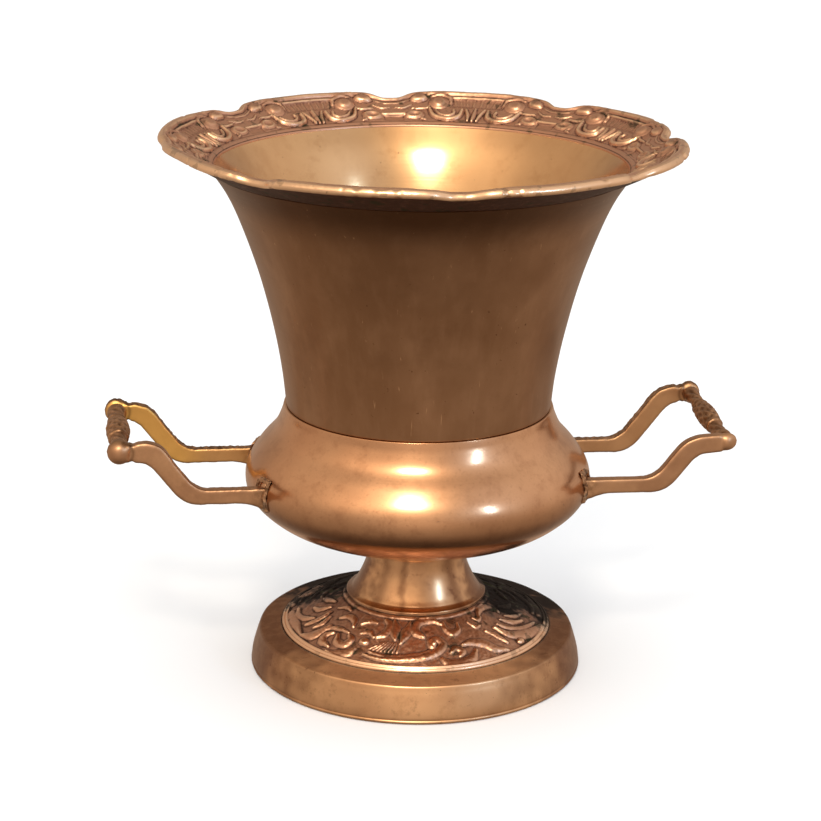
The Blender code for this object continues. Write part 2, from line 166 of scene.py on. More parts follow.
def make_camera():
    right = Vector((cos(CAMERA_AZIMUTH), sin(CAMERA_AZIMUTH), 0.0))
    ahead = Vector((-sin(CAMERA_AZIMUTH), cos(CAMERA_AZIMUTH), 0.0))
    back = -ahead * cos(CAMERA_PITCH) + Vector((0.0, 0.0, sin(CAMERA_PITCH)))
    upward = back.cross(right)
    rolled_right = right * cos(CAMERA_ROLL) + upward * sin(CAMERA_ROLL)
    rolled_up = upward * cos(CAMERA_ROLL) - right * sin(CAMERA_ROLL)
    data = bpy.data.cameras.new("camera")
    data.lens = LENS
    data.sensor_width = 36.0
    camera = bpy.data.objects.new("camera", data)
    bpy.context.scene.collection.objects.link(camera)
    place = right * CAMERA_SIDE - ahead * CAMERA_REACH + Vector((0.0, 0.0, CAMERA_HEIGHT))
    turn = Matrix((rolled_right, rolled_up, back)).transposed().to_4x4()
    camera.matrix_world = Matrix.Translation(place) @ turn
    bpy.context.scene.camera = camera


make_camera()


# --- outlines, as points of radius and height ---

def flowing(points, per_span=8):
    """Points along a Catmull-Rom curve through the given points, of any number of columns."""
    knots = [2 * np.array(points[0]) - points[1]] + [np.array(p, float) for p in points]
    knots.append(2 * knots[-1] - knots[-2])
    path = []
    for p0, p1, p2, p3 in zip(knots, knots[1:], knots[2:], knots[3:]):
        for step in range(per_span):
            t = step / per_span
            path.append(0.5 * (2 * p1 + (p2 - p0) * t + (2 * p0 - 5 * p1 + 4 * p2 - p3) * t * t
                               + (3 * p1 - p0 - 3 * p2 + p3) * t ** 3))
    return path + [knots[-2]]


def evened(points, spacing):
    """The same path with its points about this far apart."""
    points = np.array(points, float)
    run = np.concatenate([[0.0], np.cumsum(np.hypot(*np.diff(points, axis=0).T))])
    stops = np.linspace(0.0, run[-1], max(2, ceil(run[-1] / spacing) + 1))
    return [tuple(p) for p in np.stack([np.interp(stops, run, column) for column in points.T], 1)]


def offset(path, distance):
    """The path moved to its own right."""
    path = np.array(path, float)
    along = np.gradient(path, axis=0)
    along /= np.hypot(*along.T)[:, None]
    return [tuple(p) for p in path + distance * np.stack([along[:, 1], -along[:, 0]], 1)]


def arc(centre, radius, first, last, steps):
    """Points on an arc, its angles in degrees from outward towards up."""
    angles = [radians(first + (last - first) * step / steps) for step in range(steps + 1)]
    return [(centre[0] + radius * cos(a), centre[1] + radius * sin(a)) for a in angles]


# --- mesh work ---

def apply_place():
    bpy.ops.object.transform_apply(location=True, rotation=True, scale=True)


def start_piece(name, place):
    """A new piece that is one point, left in edit mode with nothing else selected."""
    bpy.ops.object.select_all(action="DESELECT")
    bpy.ops.mesh.primitive_plane_add(size=MM, location=place)
    apply_place()
    piece = bpy.context.active_object
    piece.name = piece.data.name = name
    bpy.ops.object.mode_set(mode="EDIT")
    bpy.ops.mesh.merge(type="CENTER")
    return piece


def turned(name, outline, steps, closed=True):
    """Extrudes a point along an outline, spins the line through one sector and copies that all round."""
    here = Vector((outline[0][0], 0.0, outline[0][1]))
    piece = start_piece(name, here)
    for radius, height in list(outline[1:]) + list(outline[:1] if closed else []):
        there = Vector((radius, 0.0, height))
        bpy.ops.mesh.extrude_region_move(TRANSFORM_OT_translate={"value": there - here})
        here = there
    bpy.ops.mesh.select_all(action="SELECT")
    sector = 2 * pi / SECTORS
    bpy.ops.mesh.spin(steps=steps // SECTORS, angle=sector, center=(0.0, 0.0, 0.0), axis=(0.0, 0.0, 1.0))
    bpy.ops.mesh.select_all(action="SELECT")
    bpy.ops.mesh.spin(steps=SECTORS - 1, angle=2 * pi - sector, dupli=True, center=(0.0, 0.0, 0.0),
                      axis=(0.0, 0.0, 1.0))
    close_up()
    return piece


def close_up(sharp=35.0):
    """Merges doubles, turns the faces outwards and shades the piece smooth."""
    bpy.ops.mesh.select_all(action="SELECT")
    bpy.ops.mesh.remove_doubles(threshold=0.01 * MM)
    bpy.ops.mesh.normals_make_consistent(inside=False)
    bpy.ops.object.mode_set(mode="OBJECT")
    bpy.ops.object.shade_smooth_by_angle(angle=radians(sharp))


def points_of(piece):
    flat = np.empty(3 * len(piece.data.vertices), np.float32)
    piece.data.vertices.foreach_get("co", flat)
    return flat.reshape(-1, 3).astype(float)


def normals_of(piece):
    flat = np.empty(3 * len(piece.data.vertices), np.float32)
    piece.data.vertex_normals.foreach_get("vector", flat)
    return flat.reshape(-1, 3).astype(float)


def move_points(piece, points):
    piece.data.vertices.foreach_set("co", points.astype(np.float32).ravel())
    piece.data.update()


def record_on(piece, name, values):
    """Keeps one number a point on the piece, for its finish to read."""
    kept = piece.data.attributes.new(name, "FLOAT", "POINT")
    kept.data.foreach_set("value", np.asarray(values, np.float32))


def level_radius(points):
    """How far each point is from the turning axis."""
    return np.hypot(points[:, 0], points[:, 1])


def turn_of(points):
    """Each point's angle about the turning axis."""
    return np.arctan2(points[:, 1], points[:, 0])


def outward_of(points):
    return points * (1.0, 1.0, 0.0) / level_radius(points)[:, None]


def uneven(points, size, seed=0.0):
    """Smooth noise from about -1 to 1 at each point, with bumps of about the given size."""
    return np.array([noise.noise(p) for p in points / size + 7.31 * seed])


def smooth_step(value, low, high):
    share = np.clip((value - low) / (high - low), 0.0, 1.0)
    return share * share * (3.0 - 2.0 * share)


def from_front(points, front):
    """How far round each point is from the front, given in degrees: 0 at the front and 1 at the back."""
    return (1.0 - np.cos(turn_of(points) - radians(front))) / 2


def shade_at_back(points, start):
    """Painted shade on the back of the foot, under the bowl, from a start given as a share of the way round."""
    patchy = 0.13 * uneven(points, 14 * MM, 8.0) + 0.09 * uneven(points, 5 * MM, 9.0)
    patchy += 0.08 * uneven(points, 2 * MM, 3.0)
    return smooth_step(from_front(points, 254.0) + patchy, start, start + 0.2)


def finish_piece(piece, material, slot, *nodes):
    piece.data.materials.clear()
    piece.data.materials.append(material)
    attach(piece, "root")
    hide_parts(*nodes)


# --- raised patterns, drawn flat in millimetres ---

class Relief:
    """A raised pattern on a flat strip: heights on a fine grid, drawn with strokes."""

    def __init__(self, left, right, bottom, top, fullness, step=0.2):
        self.left, self.bottom, self.fullness, self.step = left, bottom, fullness, step
        columns, rows = round((right - left) / step) + 1, round((top - bottom) / step) + 1
        self.x, self.y = np.meshgrid(left + step * np.arange(columns), bottom + step * np.arange(rows))
        self.raised = np.zeros_like(self.x)
        self.ground = np.zeros_like(self.x)

    def stroke(self, points, widths, height, power=1.0):
        """A rounded ridge along a curve. Its half width runs through the widths, times the fullness."""
        widths = [self.fullness * width for width in widths]
        path = np.array(flowing(points))
        share = np.linspace(0.0, 1.0, len(path))
        width = np.interp(share, np.linspace(0.0, 1.0, len(widths)), widths)
        reach = max(widths)
        near = ((self.x > path[:, 0].min() - reach) & (self.x < path[:, 0].max() + reach)
                & (self.y > path[:, 1].min() - reach) & (self.y < path[:, 1].max() + reach))
        spots = np.stack([self.x[near], self.y[near]], 1)
        closest = np.full(len(spots), np.inf)
        for a, b, wa, wb in zip(path, path[1:], width, width[1:]):
            along = b - a
            t = np.clip((spots - a) @ along / (along @ along + 1e-12), 0.0, 1.0)
            away = np.hypot(*(spots - a - t[:, None] * along).T)
            closest = np.minimum(closest, away / (wa + (wb - wa) * t))
        self.raise_to(near, height * np.clip(1.0 - closest ** 2, 0.0, 1.0) ** power)

    def dome(self, centre, radii, height, dish=0.0, ring=0.0):
        """A low oval dome, with a dished middle or a groove inside its edge."""
        away = np.hypot((self.x - centre[0]) / radii[0], (self.y - centre[1]) / radii[1])
        shape = height * np.clip(1.0 - away ** 4, 0.0, 1.0)
        shape -= dish * np.clip(1.0 - (away / 0.62) ** 2, 0.0, 1.0)
        shape -= ring * np.exp(-((away - 0.72) / 0.09) ** 2)
        inside = away < 1.0
        self.raise_to(inside, shape[inside])

    def raise_to(self, where, heights):
        self.raised[where] = np.maximum(self.raised[where], heights)

    def sink(self, depth, amount):
        """Lowers the ground, by a depth times an amount from 0 to 1 at each place."""
        self.ground = np.minimum(self.ground, -depth * amount)

    def band(self, x_span, y_span, soft=0.5):
        """1 inside a rectangle and 0 outside it, with soft edges."""
        across = smooth_step(self.x, x_span[0] - soft, x_span[0] + soft) * (
            1.0 - smooth_step(self.x, x_span[1] - soft, x_span[1] + soft))
        up = smooth_step(self.y, y_span[0] - soft, y_span[0] + soft) * (
            1.0 - smooth_step(self.y, y_span[1] - soft, y_span[1] + soft))
        return across * up

    def heights(self):
        return self.ground + self.raised

    def blurred(self, field, reach):
        """The field averaged over a square of this half width, in millimetres."""
        half = round(reach / self.step)
        for axis in (0, 1):
            margins = [(half + 1, half) if a == axis else (0, 0) for a in (0, 1)]
            padded = np.pad(field, margins, mode="edge")
            total = np.cumsum(padded, axis=axis)
            count = 2 * half + 1
            upper = np.take(total, range(count, total.shape[axis]), axis)
            lower = np.take(total, range(0, total.shape[axis] - count), axis)
            field = (upper - lower) / count
        return field

    def read(self, field, x, y):
        """The field at each place, between the grid's values."""
        u = np.clip((x - self.left) / self.step, 0.0, self.x.shape[1] - 1.001)
        v = np.clip((y - self.bottom) / self.step, 0.0, self.x.shape[0] - 1.001)
        column, row = u.astype(int), v.astype(int)
        fu, fv = u - column, v - row
        return ((field[row, column] * (1 - fu) + field[row, column + 1] * fu) * (1 - fv)
                + (field[row + 1, column] * (1 - fu) + field[row + 1, column + 1] * fu) * fv)


def rim_pattern():
    """Half a lobe of the rim, mirrored about x = 0. The lip is at the top and the notch at x = 40."""
    art = Relief(left=0.0, right=42.0, bottom=0.0, top=28.0, fullness=1.25)
    art.sink(0.75, art.band((-2.0, 45.0), (3.2, 24.3), 0.5))
    art.sink(1.35, art.band((-20.0, 13.5), (14.8, 22.0), 1.6))
    art.sink(1.25, art.band((34.8, 45.0), (4.6, 8.9), 0.35))
    art.stroke(((0.0, 25.7), (12.0, 25.9), (23.0, 26.2)), (1.5, 1.5, 1.1), 1.0)
    art.stroke(((0.0, 22.4), (8.0, 22.6), (14.5, 22.9)), (0.55, 0.55, 0.4), 0.85)
    art.stroke(((23.0, 26.3), (30.0, 26.4), (36.0, 25.8), (42.0, 25.5)), (1.0, 1.1, 1.3, 1.3), 0.9)
    art.stroke(((31.5, 22.0), (36.0, 21.4), (42.0, 21.0)), (0.35, 0.5, 0.5), 0.75)
    art.dome((18.0, 18.3), (4.9, 4.7), 1.65, dish=-0.25, ring=0.45)
    art.stroke(((12.2, 18.5), (13.2, 22.2), (17.0, 24.2), (21.5, 23.6)), (0.5, 0.75, 0.75, 0.4), 1.0)
    art.dome((27.3, 22.2), (4.1, 3.1), 1.8)
    art.stroke(((22.5, 15.0), (19.8, 7.9), (13.0, 5.2), (7.6, 7.5), (6.4, 12.8)),
               (0.45, 1.15, 1.6, 1.2, 0.7), 1.6)
    art.stroke(((19.3, 12.6), (16.8, 9.4), (12.8, 8.3), (10.2, 10.2), (10.6, 12.9)),
               (0.4, 0.7, 0.9, 0.7, 0.6), 1.1)
    art.stroke(((0.0, 4.3), (0.0, 9.0), (0.0, 14.2)), (0.5, 1.05, 0.6), 1.3)
    art.stroke(((2.3, 4.3), (3.1, 9.0), (4.9, 13.8)), (0.4, 0.9, 0.5), 1.2)
    art.dome((29.6, 9.0), (5.2, 3.7), 1.45, dish=1.25)
    art.stroke(((34.4, 10.1), (38.0, 10.3), (42.0, 10.3)), (0.8, 0.75, 0.75), 1.15)
    art.stroke(((22.2, 14.6), (26.0, 13.9), (30.5, 14.6)), (0.4, 0.75, 0.4), 1.1)
    art.stroke(((30.8, 17.5), (34.5, 16.0), (38.8, 17.0)), (0.4, 0.7, 0.35), 0.9)
    art.stroke(((24.0, 5.0), (26.0, 5.6), (25.0, 8.0)), (0.4, 0.6, 0.4), 0.9)
    for x in (1.6, 4.4, 7.0, 9.4, 11.6):
        art.stroke(((x, 15.2), (1.08 * x, 18.0), (1.15 * x, 21.2)), (0.2, 0.32, 0.16), 0.55)
    return art


def foot_pattern():
    """Half of the foot's pattern, which repeats after half a turn. Each point is an angle and a radius."""
    per_degree = FOOT_ART_RADIUS * pi / 180.0
    art = Relief(170.0 * per_degree, 350.0 * per_degree, FOOT_ART_INNER, FOOT_ART_OUTER, fullness=2.0)

    def stroke(points, widths, height):
        art.stroke([(angle * per_degree, radius) for angle, radius in points], widths, 0.75 * height, 0.65)

    art.sink(0.7, art.band((100.0, 400.0), (33.2, 58.4), 0.4))
    stroke(((240.6, 34.7), (245.2, 37.1), (244.5, 42.0), (240.6, 44.8)), (0.5, 1.1, 1.2, 0.6), 1.2)
    stroke(((247.4, 34.4), (249.7, 39.6), (251.3, 44.8)), (0.4, 1.6, 0.4), 1.3)
    stroke(((259.1, 34.8), (257.1, 40.6), (255.2, 46.8)), (0.4, 1.5, 0.3), 1.3)
    stroke(((267.6, 43.0), (262.6, 39.4), (265.4, 34.8), (275.3, 33.9), (281.2, 36.6)),
           (0.6, 1.4, 1.2, 0.9, 0.5), 1.4)
    stroke(((238.0, 54.6), (246.0, 55.6), (254.0, 55.2), (265.2, 53.8), (273.0, 51.4), (277.6, 47.6),
            (275.6, 44.7), (271.8, 45.6), (271.8, 48.0)),
           (0.3, 0.6, 0.75, 0.85, 1.0, 1.05, 1.0, 0.9, 0.9), 1.4)
    stroke(((240.0, 52.8), (248.0, 53.7), (256.0, 53.3), (266.0, 51.7), (270.5, 50.2)),
           (0.3, 0.5, 0.6, 0.5, 0.3), 1.0)
    art.dome((272.9 * per_degree, 47.0), (1.3, 1.3), 1.5)
    for step in range(8):
        lean = step - 3.5
        stroke(((246.6 + 2.1 * lean, 51.6), (248.4 + 1.7 * lean, 49.2), (250.0 + 1.2 * lean, 46.6)),
               (0.12, 0.26, 0.12), 0.8)
    stroke(((283.0, 35.6), (282.6, 39.0), (286.0, 41.8), (290.8, 40.6), (292.7, 37.2)),
           (0.4, 0.9, 1.1, 0.7, 0.4), 1.2)
    stroke(((300.5, 38.0), (303.2, 41.2), (306.6, 41.6)), (0.4, 0.7, 0.3), 1.0)
    stroke(((306.7, 36.6), (309.4, 38.4), (313.2, 37.8)), (0.3, 0.7, 0.3), 1.0)
    stroke(((312.0, 37.2), (317.8, 34.7), (326.0, 34.4), (331.6, 36.6), (330.6, 40.5)),
           (0.4, 0.8, 0.9, 0.8, 0.4), 1.2)
    stroke(((288.0, 49.0), (294.0, 48.6), (300.0, 50.6), (303.4, 54.2), (309.0, 57.2)),
           (0.4, 1.0, 1.3, 1.1, 0.4), 1.4)
    stroke(((275.6, 54.6), (278.4, 57.0), (284.0, 57.6), (289.6, 56.0), (293.4, 52.6)),
           (0.5, 1.1, 1.2, 1.0, 0.5), 1.2)
    stroke(((281.0, 52.0), (283.6, 50.0), (286.6, 52.0), (284.6, 54.2)), (0.4, 0.8, 0.8, 0.4), 1.1)
    stroke(((314.0, 45.4), (318.8, 51.4), (328.9, 55.4), (343.0, 58.0)), (0.5, 1.1, 1.4, 0.7), 1.5)
    stroke(((318.0, 44.4), (322.4, 48.8), (331.0, 52.6), (342.0, 54.8)), (0.3, 0.6, 0.8, 0.4), 1.1)
    stroke(((324.0, 43.2), (329.0, 47.2), (336.6, 50.2)), (0.3, 0.8, 0.4), 1.1)
    stroke(((331.0, 43.4), (336.5, 46.6), (343.5, 48.6)), (0.3, 0.7, 0.3), 1.0)
    stroke(((338.0, 38.6), (343.0, 42.0), (349.0, 43.2)), (0.4, 0.9, 0.4), 1.1)
    art.dome((320.2 * per_degree, 56.1), (2.0, 1.5), 1.3)
    stroke(((307.0, 45.0), (311.0, 49.5), (312.6, 54.0)), (0.4, 0.8, 0.3), 1.0)
    stroke(((172.6, 57.0), (180.0, 56.4), (189.0, 56.4), (198.5, 57.2)), (0.8, 1.3, 1.1, 0.4), 1.3)
    stroke(((172.0, 53.6), (180.0, 54.0), (187.4, 51.8), (192.4, 48.6)), (0.4, 0.8, 0.9, 0.4), 1.2)
    stroke(((193.6, 53.0), (195.4, 49.2), (196.6, 45.2), (196.0, 41.6)), (0.4, 0.9, 0.8, 0.3), 1.2)
    stroke(((200.4, 51.8), (201.6, 47.6), (201.2, 43.4)), (0.3, 0.8, 0.3), 1.1)
    stroke(((199.5, 57.2), (204.9, 54.6), (207.0, 50.8), (208.6, 46.6)), (0.5, 1.3, 1.1, 0.4), 1.4)
    stroke(((207.4, 51.0), (210.4, 47.4), (216.0, 46.0), (223.0, 46.2)), (0.3, 0.6, 0.6, 0.3), 1.0)
    stroke(((214.6, 48.8), (211.6, 51.6), (213.4, 54.6), (218.8, 55.6)), (0.4, 0.9, 1.0, 0.4), 1.2)
    stroke(((218.0, 48.8), (220.8, 52.0), (225.6, 52.2), (227.2, 48.8), (224.6, 47.4)),
           (0.4, 0.9, 1.1, 0.9, 0.5), 1.4)
    stroke(((220.4, 58.2), (226.2, 57.3), (230.6, 55.6), (232.6, 52.8)), (0.4, 1.1, 1.0, 0.4), 1.3)
    art.dome((234.9 * per_degree, 48.4), (2.4, 2.0), 1.2)
    stroke(((230.0, 44.6), (234.6, 43.0), (238.6, 45.2)), (0.3, 0.8, 0.4), 1.0)
    stroke(((181.0, 46.6), (187.0, 44.6), (190.6, 40.4)), (0.4, 0.9, 0.4), 1.1)
    stroke(((174.0, 42.0), (179.0, 39.8), (186.4, 37.6)), (0.4, 0.9, 0.4), 1.1)
    stroke(((208.0, 41.6), (213.0, 38.6), (219.6, 39.6), (222.4, 42.6)), (0.4, 0.9, 0.8, 0.4), 1.1)
    stroke(((226.0, 40.0), (230.6, 37.0), (236.0, 37.4)), (0.4, 0.8, 0.4), 1.0)
    stroke(((196.6, 38.0), (202.0, 35.4), (208.0, 35.6)), (0.3, 0.7, 0.3), 0.9)
    return art, per_degree


# --- finishes ---

class Value:
    """A number from a shader socket. Arithmetic on it adds Math nodes."""

    def __init__(self, finish, socket):
        self.finish, self.socket = finish, socket

    def combined(self, operation, first, second):
        settings = {"operation": operation}
        return self.finish.node("ShaderNodeMath", settings, {0: first, 1: second}, "Value")

    def __add__(self, other):
        return self.combined("ADD", self, other)

    __radd__ = __add__

    def __sub__(self, other):
        return self.combined("SUBTRACT", self, other)

    def __rsub__(self, other):
        return self.combined("SUBTRACT", other, self)

    def __mul__(self, other):
        return self.combined("MULTIPLY", self, other)

    __rmul__ = __mul__

    def __pow__(self, other):
        return self.combined("POWER", self, other)

    def most(self, other):
        return self.combined("MAXIMUM", self, other)

    def between(self, low, high):
        """0 at low, 1 at high, and a smooth step from one to the other."""
        settings = {"interpolation_type": "SMOOTHSTEP"}
        inputs = {"Value": self, "From Min": low, "From Max": high}
        return self.finish.node("ShaderNodeMapRange", settings, inputs, "Result")


class Shading:
    """A node tree in the making."""

    def __init__(self, tree):
        self.tree = tree

    def node(self, kind, settings, inputs, output):
        """Adds a node, gives it its settings and then its inputs, and returns one of its outputs."""
        node = self.tree.nodes.new(kind)
        for setting, choice in settings.items():
            setattr(node, setting, choice)
        for name, value in inputs.items():
            self.feed(node.inputs[name], value)
        return Value(self, node.outputs[output])

    def feed(self, socket, value):
        if isinstance(value, Value):
            self.tree.links.new(value.socket, socket)
        elif socket.type == "RGBA":
            socket.default_value = (*value, 1.0)
        else:
            socket.default_value = value

    def mix(self, share, first, second, way="MIX"):
        inputs = {0: share, 6: first, 7: second}
        return self.node("ShaderNodeMix", {"data_type": "RGBA", "blend_type": way}, inputs, 2)


class Finish(Shading):
    """A material in the making."""

    def __init__(self, name):
        self.material = bpy.data.materials.new(name)
        self.material.use_nodes = True
        super().__init__(self.material.node_tree)
        self.shader = self.tree.nodes["Principled BSDF"]
        self.place = self.node("ShaderNodeTexCoord", {}, {}, "Object")

    def grain(self, size, detail=2.0, stretch=(1.0, 1.0, 1.0), rough=0.55, shift=0.0):
        """Noise from 0 to 1 with features of about this size, drawn out along an axis by its stretch."""
        scale = [1.0 / (size * s) for s in stretch]
        inputs = {"Vector": self.place, "Location": (shift, shift, shift), "Scale": scale}
        place = self.node("ShaderNodeMapping", {}, inputs, "Vector")
        inputs = {"Vector": place, "Scale": 1.0, "Detail": detail, "Roughness": rough}
        return self.node("ShaderNodeTexNoise", {}, inputs, "Fac")

    def kept(self, name):
        """A number that was recorded on the piece's points."""
        return self.node("ShaderNodeAttribute", {"attribute_name": name}, {}, "Fac")

    def bumped(self, height, depth):
        """Surface normals for a height from 0 to 1 that stands for this depth."""
        inputs = {"Height": height, "Distance": depth, "Strength": 1.0}
        return self.node("ShaderNodeBump", {}, inputs, "Normal")

    def coat(self, colour, roughness, normal=None, metallic=1.0):
        self.feed(self.shader.inputs["Base Color"], colour)
        self.feed(self.shader.inputs["Roughness"], roughness)
        self.feed(self.shader.inputs["Metallic"], metallic)
        self.feed(self.shader.inputs["Specular IOR Level"], 0.06)
        if normal:
            self.feed(self.shader.inputs["Normal"], normal)
        return self.material


def spun_bell():
    """Browned outside with rubbed streaks and painted shade, yellow-gold inside."""
    f = Finish("browned_and_golden_brass")
    clouds = f.grain(45 * MM, 4.0)
    mottle = f.grain(9 * MM, 5.0, rough=0.65)
    streaks = f.grain(5 * MM, 3.0, (1.0, 1.0, 22.0))
    rings = f.grain(1.1 * MM, 3.0, (60.0, 60.0, 1.0))
    specks = f.grain(2.2 * MM, 3.0, shift=3.0).between(0.70, 0.78)
    inside = f.kept("inside")
    scratches = f.grain(1.6 * MM, 2.0, (1.0, 1.0, 40.0), shift=6.0).between(0.70, 0.80)
    level = f.grain(14 * MM, 4.0, (1.0, 1.0, 2.5), shift=8.0)
    rubbed = clouds.between(0.4, 0.65) * 0.45 + streaks.between(0.5, 0.8) * 0.2
    rubbed = rubbed + level.between(0.45, 0.7) * 0.35
    outer = f.mix(rubbed, (0.31, 0.175, 0.095), (0.45, 0.275, 0.165))
    outer = f.mix(f.kept("shaded") * 0.75, outer, (0.10, 0.05, 0.025))
    outer = f.mix(scratches * 0.6, outer, (0.72, 0.46, 0.27))
    outer = f.mix(mottle.between(0.5, 0.8) * 0.35, outer, (0.26, 0.145, 0.08))
    inner = f.mix(clouds.between(0.3, 0.75), (0.64, 0.40, 0.21), (0.72, 0.47, 0.25))
    inner = f.mix(mottle.between(0.5, 0.75) * 0.4 + level.between(0.5, 0.7) * 0.3, inner, (0.50, 0.28, 0.13))
    colour = f.mix(inside, outer, inner)
    colour = f.mix(specks * 0.7, colour, (0.08, 0.04, 0.02))
    rough = 0.25 + 0.10 * clouds + 0.07 * rings + 0.1 * specks + inside * (-0.17)
    return f.coat(colour, rough, f.bumped(0.75 * rings + 0.25 * streaks, 0.012 * MM))


def polished_bowl():
    f = Finish("coppery_bowl_brass")
    clouds = f.grain(38 * MM, 4.0, shift=1.0)
    mottle = f.grain(7 * MM, 5.0, rough=0.65, shift=2.0)
    rings = f.grain(1.0 * MM, 3.0, (60.0, 60.0, 1.0))
    specks = f.grain(2.0 * MM, 3.0, shift=5.0).between(0.70, 0.78)
    inside = f.kept("inside")
    colour = f.mix(clouds.between(0.3, 0.7), (0.63, 0.355, 0.20), (0.73, 0.435, 0.25))
    speckle = f.grain(1.5 * MM, 4.0, rough=0.7, shift=12.0)
    colour = f.mix(mottle.between(0.48, 0.75) * 0.5, colour, (0.46, 0.24, 0.13))
    colour = f.mix(speckle.between(0.55, 0.75) * 0.4, colour, (0.34, 0.17, 0.09))
    colour = f.mix(f.kept("shaded") * (0.7 + 0.5 * mottle), colour, (0.20, 0.10, 0.055))
    colour = f.mix(inside * 0.8, colour, (0.64, 0.38, 0.15))
    colour = f.mix(specks * 0.7, colour, (0.10, 0.05, 0.025))
    rough = 0.13 + 0.06 * clouds + 0.06 * mottle + 0.04 * rings + 0.1 * specks
    return f.coat(colour, rough, f.bumped(rings, 0.008 * MM))


def aged_cast():
    f = Finish("aged_cast_brass")
    clouds = f.grain(30 * MM, 4.0, shift=4.0)
    mottle = f.grain(6 * MM, 5.0, rough=0.7, shift=6.0)
    rings = f.grain(0.9 * MM, 3.0, (50.0, 50.0, 1.0))
    pits = f.grain(1.7 * MM, 3.0, shift=9.0).between(0.70, 0.76)
    colour = f.mix(clouds.between(0.3, 0.7), (0.66, 0.39, 0.215), (0.76, 0.48, 0.27))
    colour = f.mix(mottle.between(0.48, 0.8) * 0.55, colour, (0.46, 0.24, 0.12))
    stains = f.grain(4 * MM, 4.0, rough=0.7, shift=11.0)
    # Painted shade on the sides away from the front, mixed with real stains
    shade_and_stains = f.kept("shade_and_stains") * (0.7 + 0.6 * mottle) + stains.between(0.56, 0.72) * 0.35
    colour = f.mix(shade_and_stains, colour, (0.24, 0.12, 0.065))
    # Near-black painted shade, made less metallic and rougher
    painted_shade = f.kept("painted_shade")
    colour = f.mix(painted_shade, colour, (0.012, 0.009, 0.007))
    colour = f.mix(pits * 0.7, colour, (0.07, 0.035, 0.02))
    rough = 0.22 + 0.12 * clouds + 0.10 * mottle + 0.15 * pits + 0.3 * painted_shade + 0.25 * f.kept("matt")
    return f.coat(colour, rough, f.bumped(0.5 * rings + 0.5 * (1.0 - pits), 0.015 * MM), 1.0 - painted_shade)


def cast_relief(name, ground, middle, top):
    """Dark in its hollows and where shade is painted, and rubbed bright on its raised parts."""
    f = Finish(name)
    mottle = f.grain(3 * MM, 5.0, rough=0.7, shift=7.0)
    sand = f.grain(0.6 * MM, 3.0, shift=8.0)
    hollow_and_shade = f.kept("hollow_and_shade")
    dirt = (hollow_and_shade + (mottle - 0.5) * 0.45).between(0.15, 0.75)
    packed = (hollow_and_shade + (mottle - 0.5) * 0.9).between(0.62, 1.0)
    rubbed = f.kept("crown") + (mottle - 0.5) * 0.3
    colour = f.mix(rubbed.between(0.2, 0.9), middle, top)
    colour = f.mix(dirt, colour, ground)
    colour = f.mix(packed * 0.85, colour, (0.045, 0.026, 0.018))
    # Near-black painted shade
    colour = f.mix(f.kept("painted_shade"), colour, (0.012, 0.009, 0.007))
    verdigris = f.grain(7 * MM, 3.0, shift=13.0).between(0.59, 0.65)
    colour = f.mix(verdigris * (0.4 + hollow_and_shade) * 0.8, colour, (0.05, 0.045, 0.025))
    rough = 0.32 + 0.22 * dirt + 0.12 * mottle + f.kept("painted_shade") * 0.2 - 0.1 * f.kept("crown")
    metallic = 1.0 - (0.15 * dirt).most(f.kept("painted_shade"))
    return f.coat(colour, rough, f.bumped(sand * (0.3 + 0.7 * hollow_and_shade), 0.08 * MM), metallic)


def handle_cast():
    f = Finish("rough_handle_brass")
    clouds = f.grain(14 * MM, 4.0, shift=3.0)
    mottle = f.grain(2.5 * MM, 5.0, rough=0.7, shift=1.0)
    sand = f.grain(0.5 * MM, 3.0, shift=5.0)
    coarse = f.kept("coarse")
    painted_reflection = f.kept("painted_reflection")
    colour = f.mix(clouds.between(0.3, 0.7), (0.50, 0.29, 0.17), (0.62, 0.38, 0.22))
    # Painted reflection of a warm light on the arms' inner faces
    colour = f.mix(painted_reflection, colour, (0.86, 0.54, 0.17))
    colour = f.mix(coarse * mottle.between(0.35, 0.62), colour, (0.16, 0.085, 0.04))
    # Dark in hollows and creases, and painted shade on undersides
    colour = f.mix(f.kept("hollow_and_shade") * 0.85, colour, (0.11, 0.055, 0.025))
    rough = 0.30 + 0.10 * clouds + 0.12 * mottle + 0.06 * coarse
    return f.coat(colour, rough, f.bumped(0.6 * mottle + 0.4 * sand, 0.05 * MM))


def old_solder():
    f = Finish("dull_solder")
    clouds = f.grain(1.6 * MM, 4.0)
    brazed = f.mix(clouds.between(0.3, 0.65), (0.13, 0.07, 0.04), (0.60, 0.37, 0.22))
    grey = f.mix(clouds.between(0.35, 0.6), (0.16, 0.13, 0.10), (0.50, 0.44, 0.36))
    return f.coat(f.mix(f.kept("bare"), brazed, grey), 0.36 + 0.2 * clouds, f.bumped(clouds, 0.15 * MM))


def plated_steel():
    f = Finish("dull_plated_steel")
    clouds = f.grain(3.0 * MM, 4.0)
    rust = f.grain(5.0 * MM, 5.0, shift=2.0).between(0.52, 0.68)
    colour = f.mix(clouds, (0.34, 0.33, 0.31), (0.52, 0.51, 0.48))
    colour = f.mix(rust * 0.7, colour, (0.16, 0.08, 0.04))
    return f.coat(colour, 0.35 + 0.3 * rust + 0.1 * clouds, f.bumped(clouds, 0.03 * MM), 1.0 - 0.5 * rust)


def black_rubber():
    f = Finish("matt_seal_rubber")
    dust = f.grain(1.2 * MM, 4.0)
    colour = f.mix(dust.between(0.4, 0.7), (0.022, 0.022, 0.022), (0.06, 0.055, 0.05))
    return f.coat(colour, 0.68 + 0.2 * dust, f.bumped(dust, 0.03 * MM), 0.0)


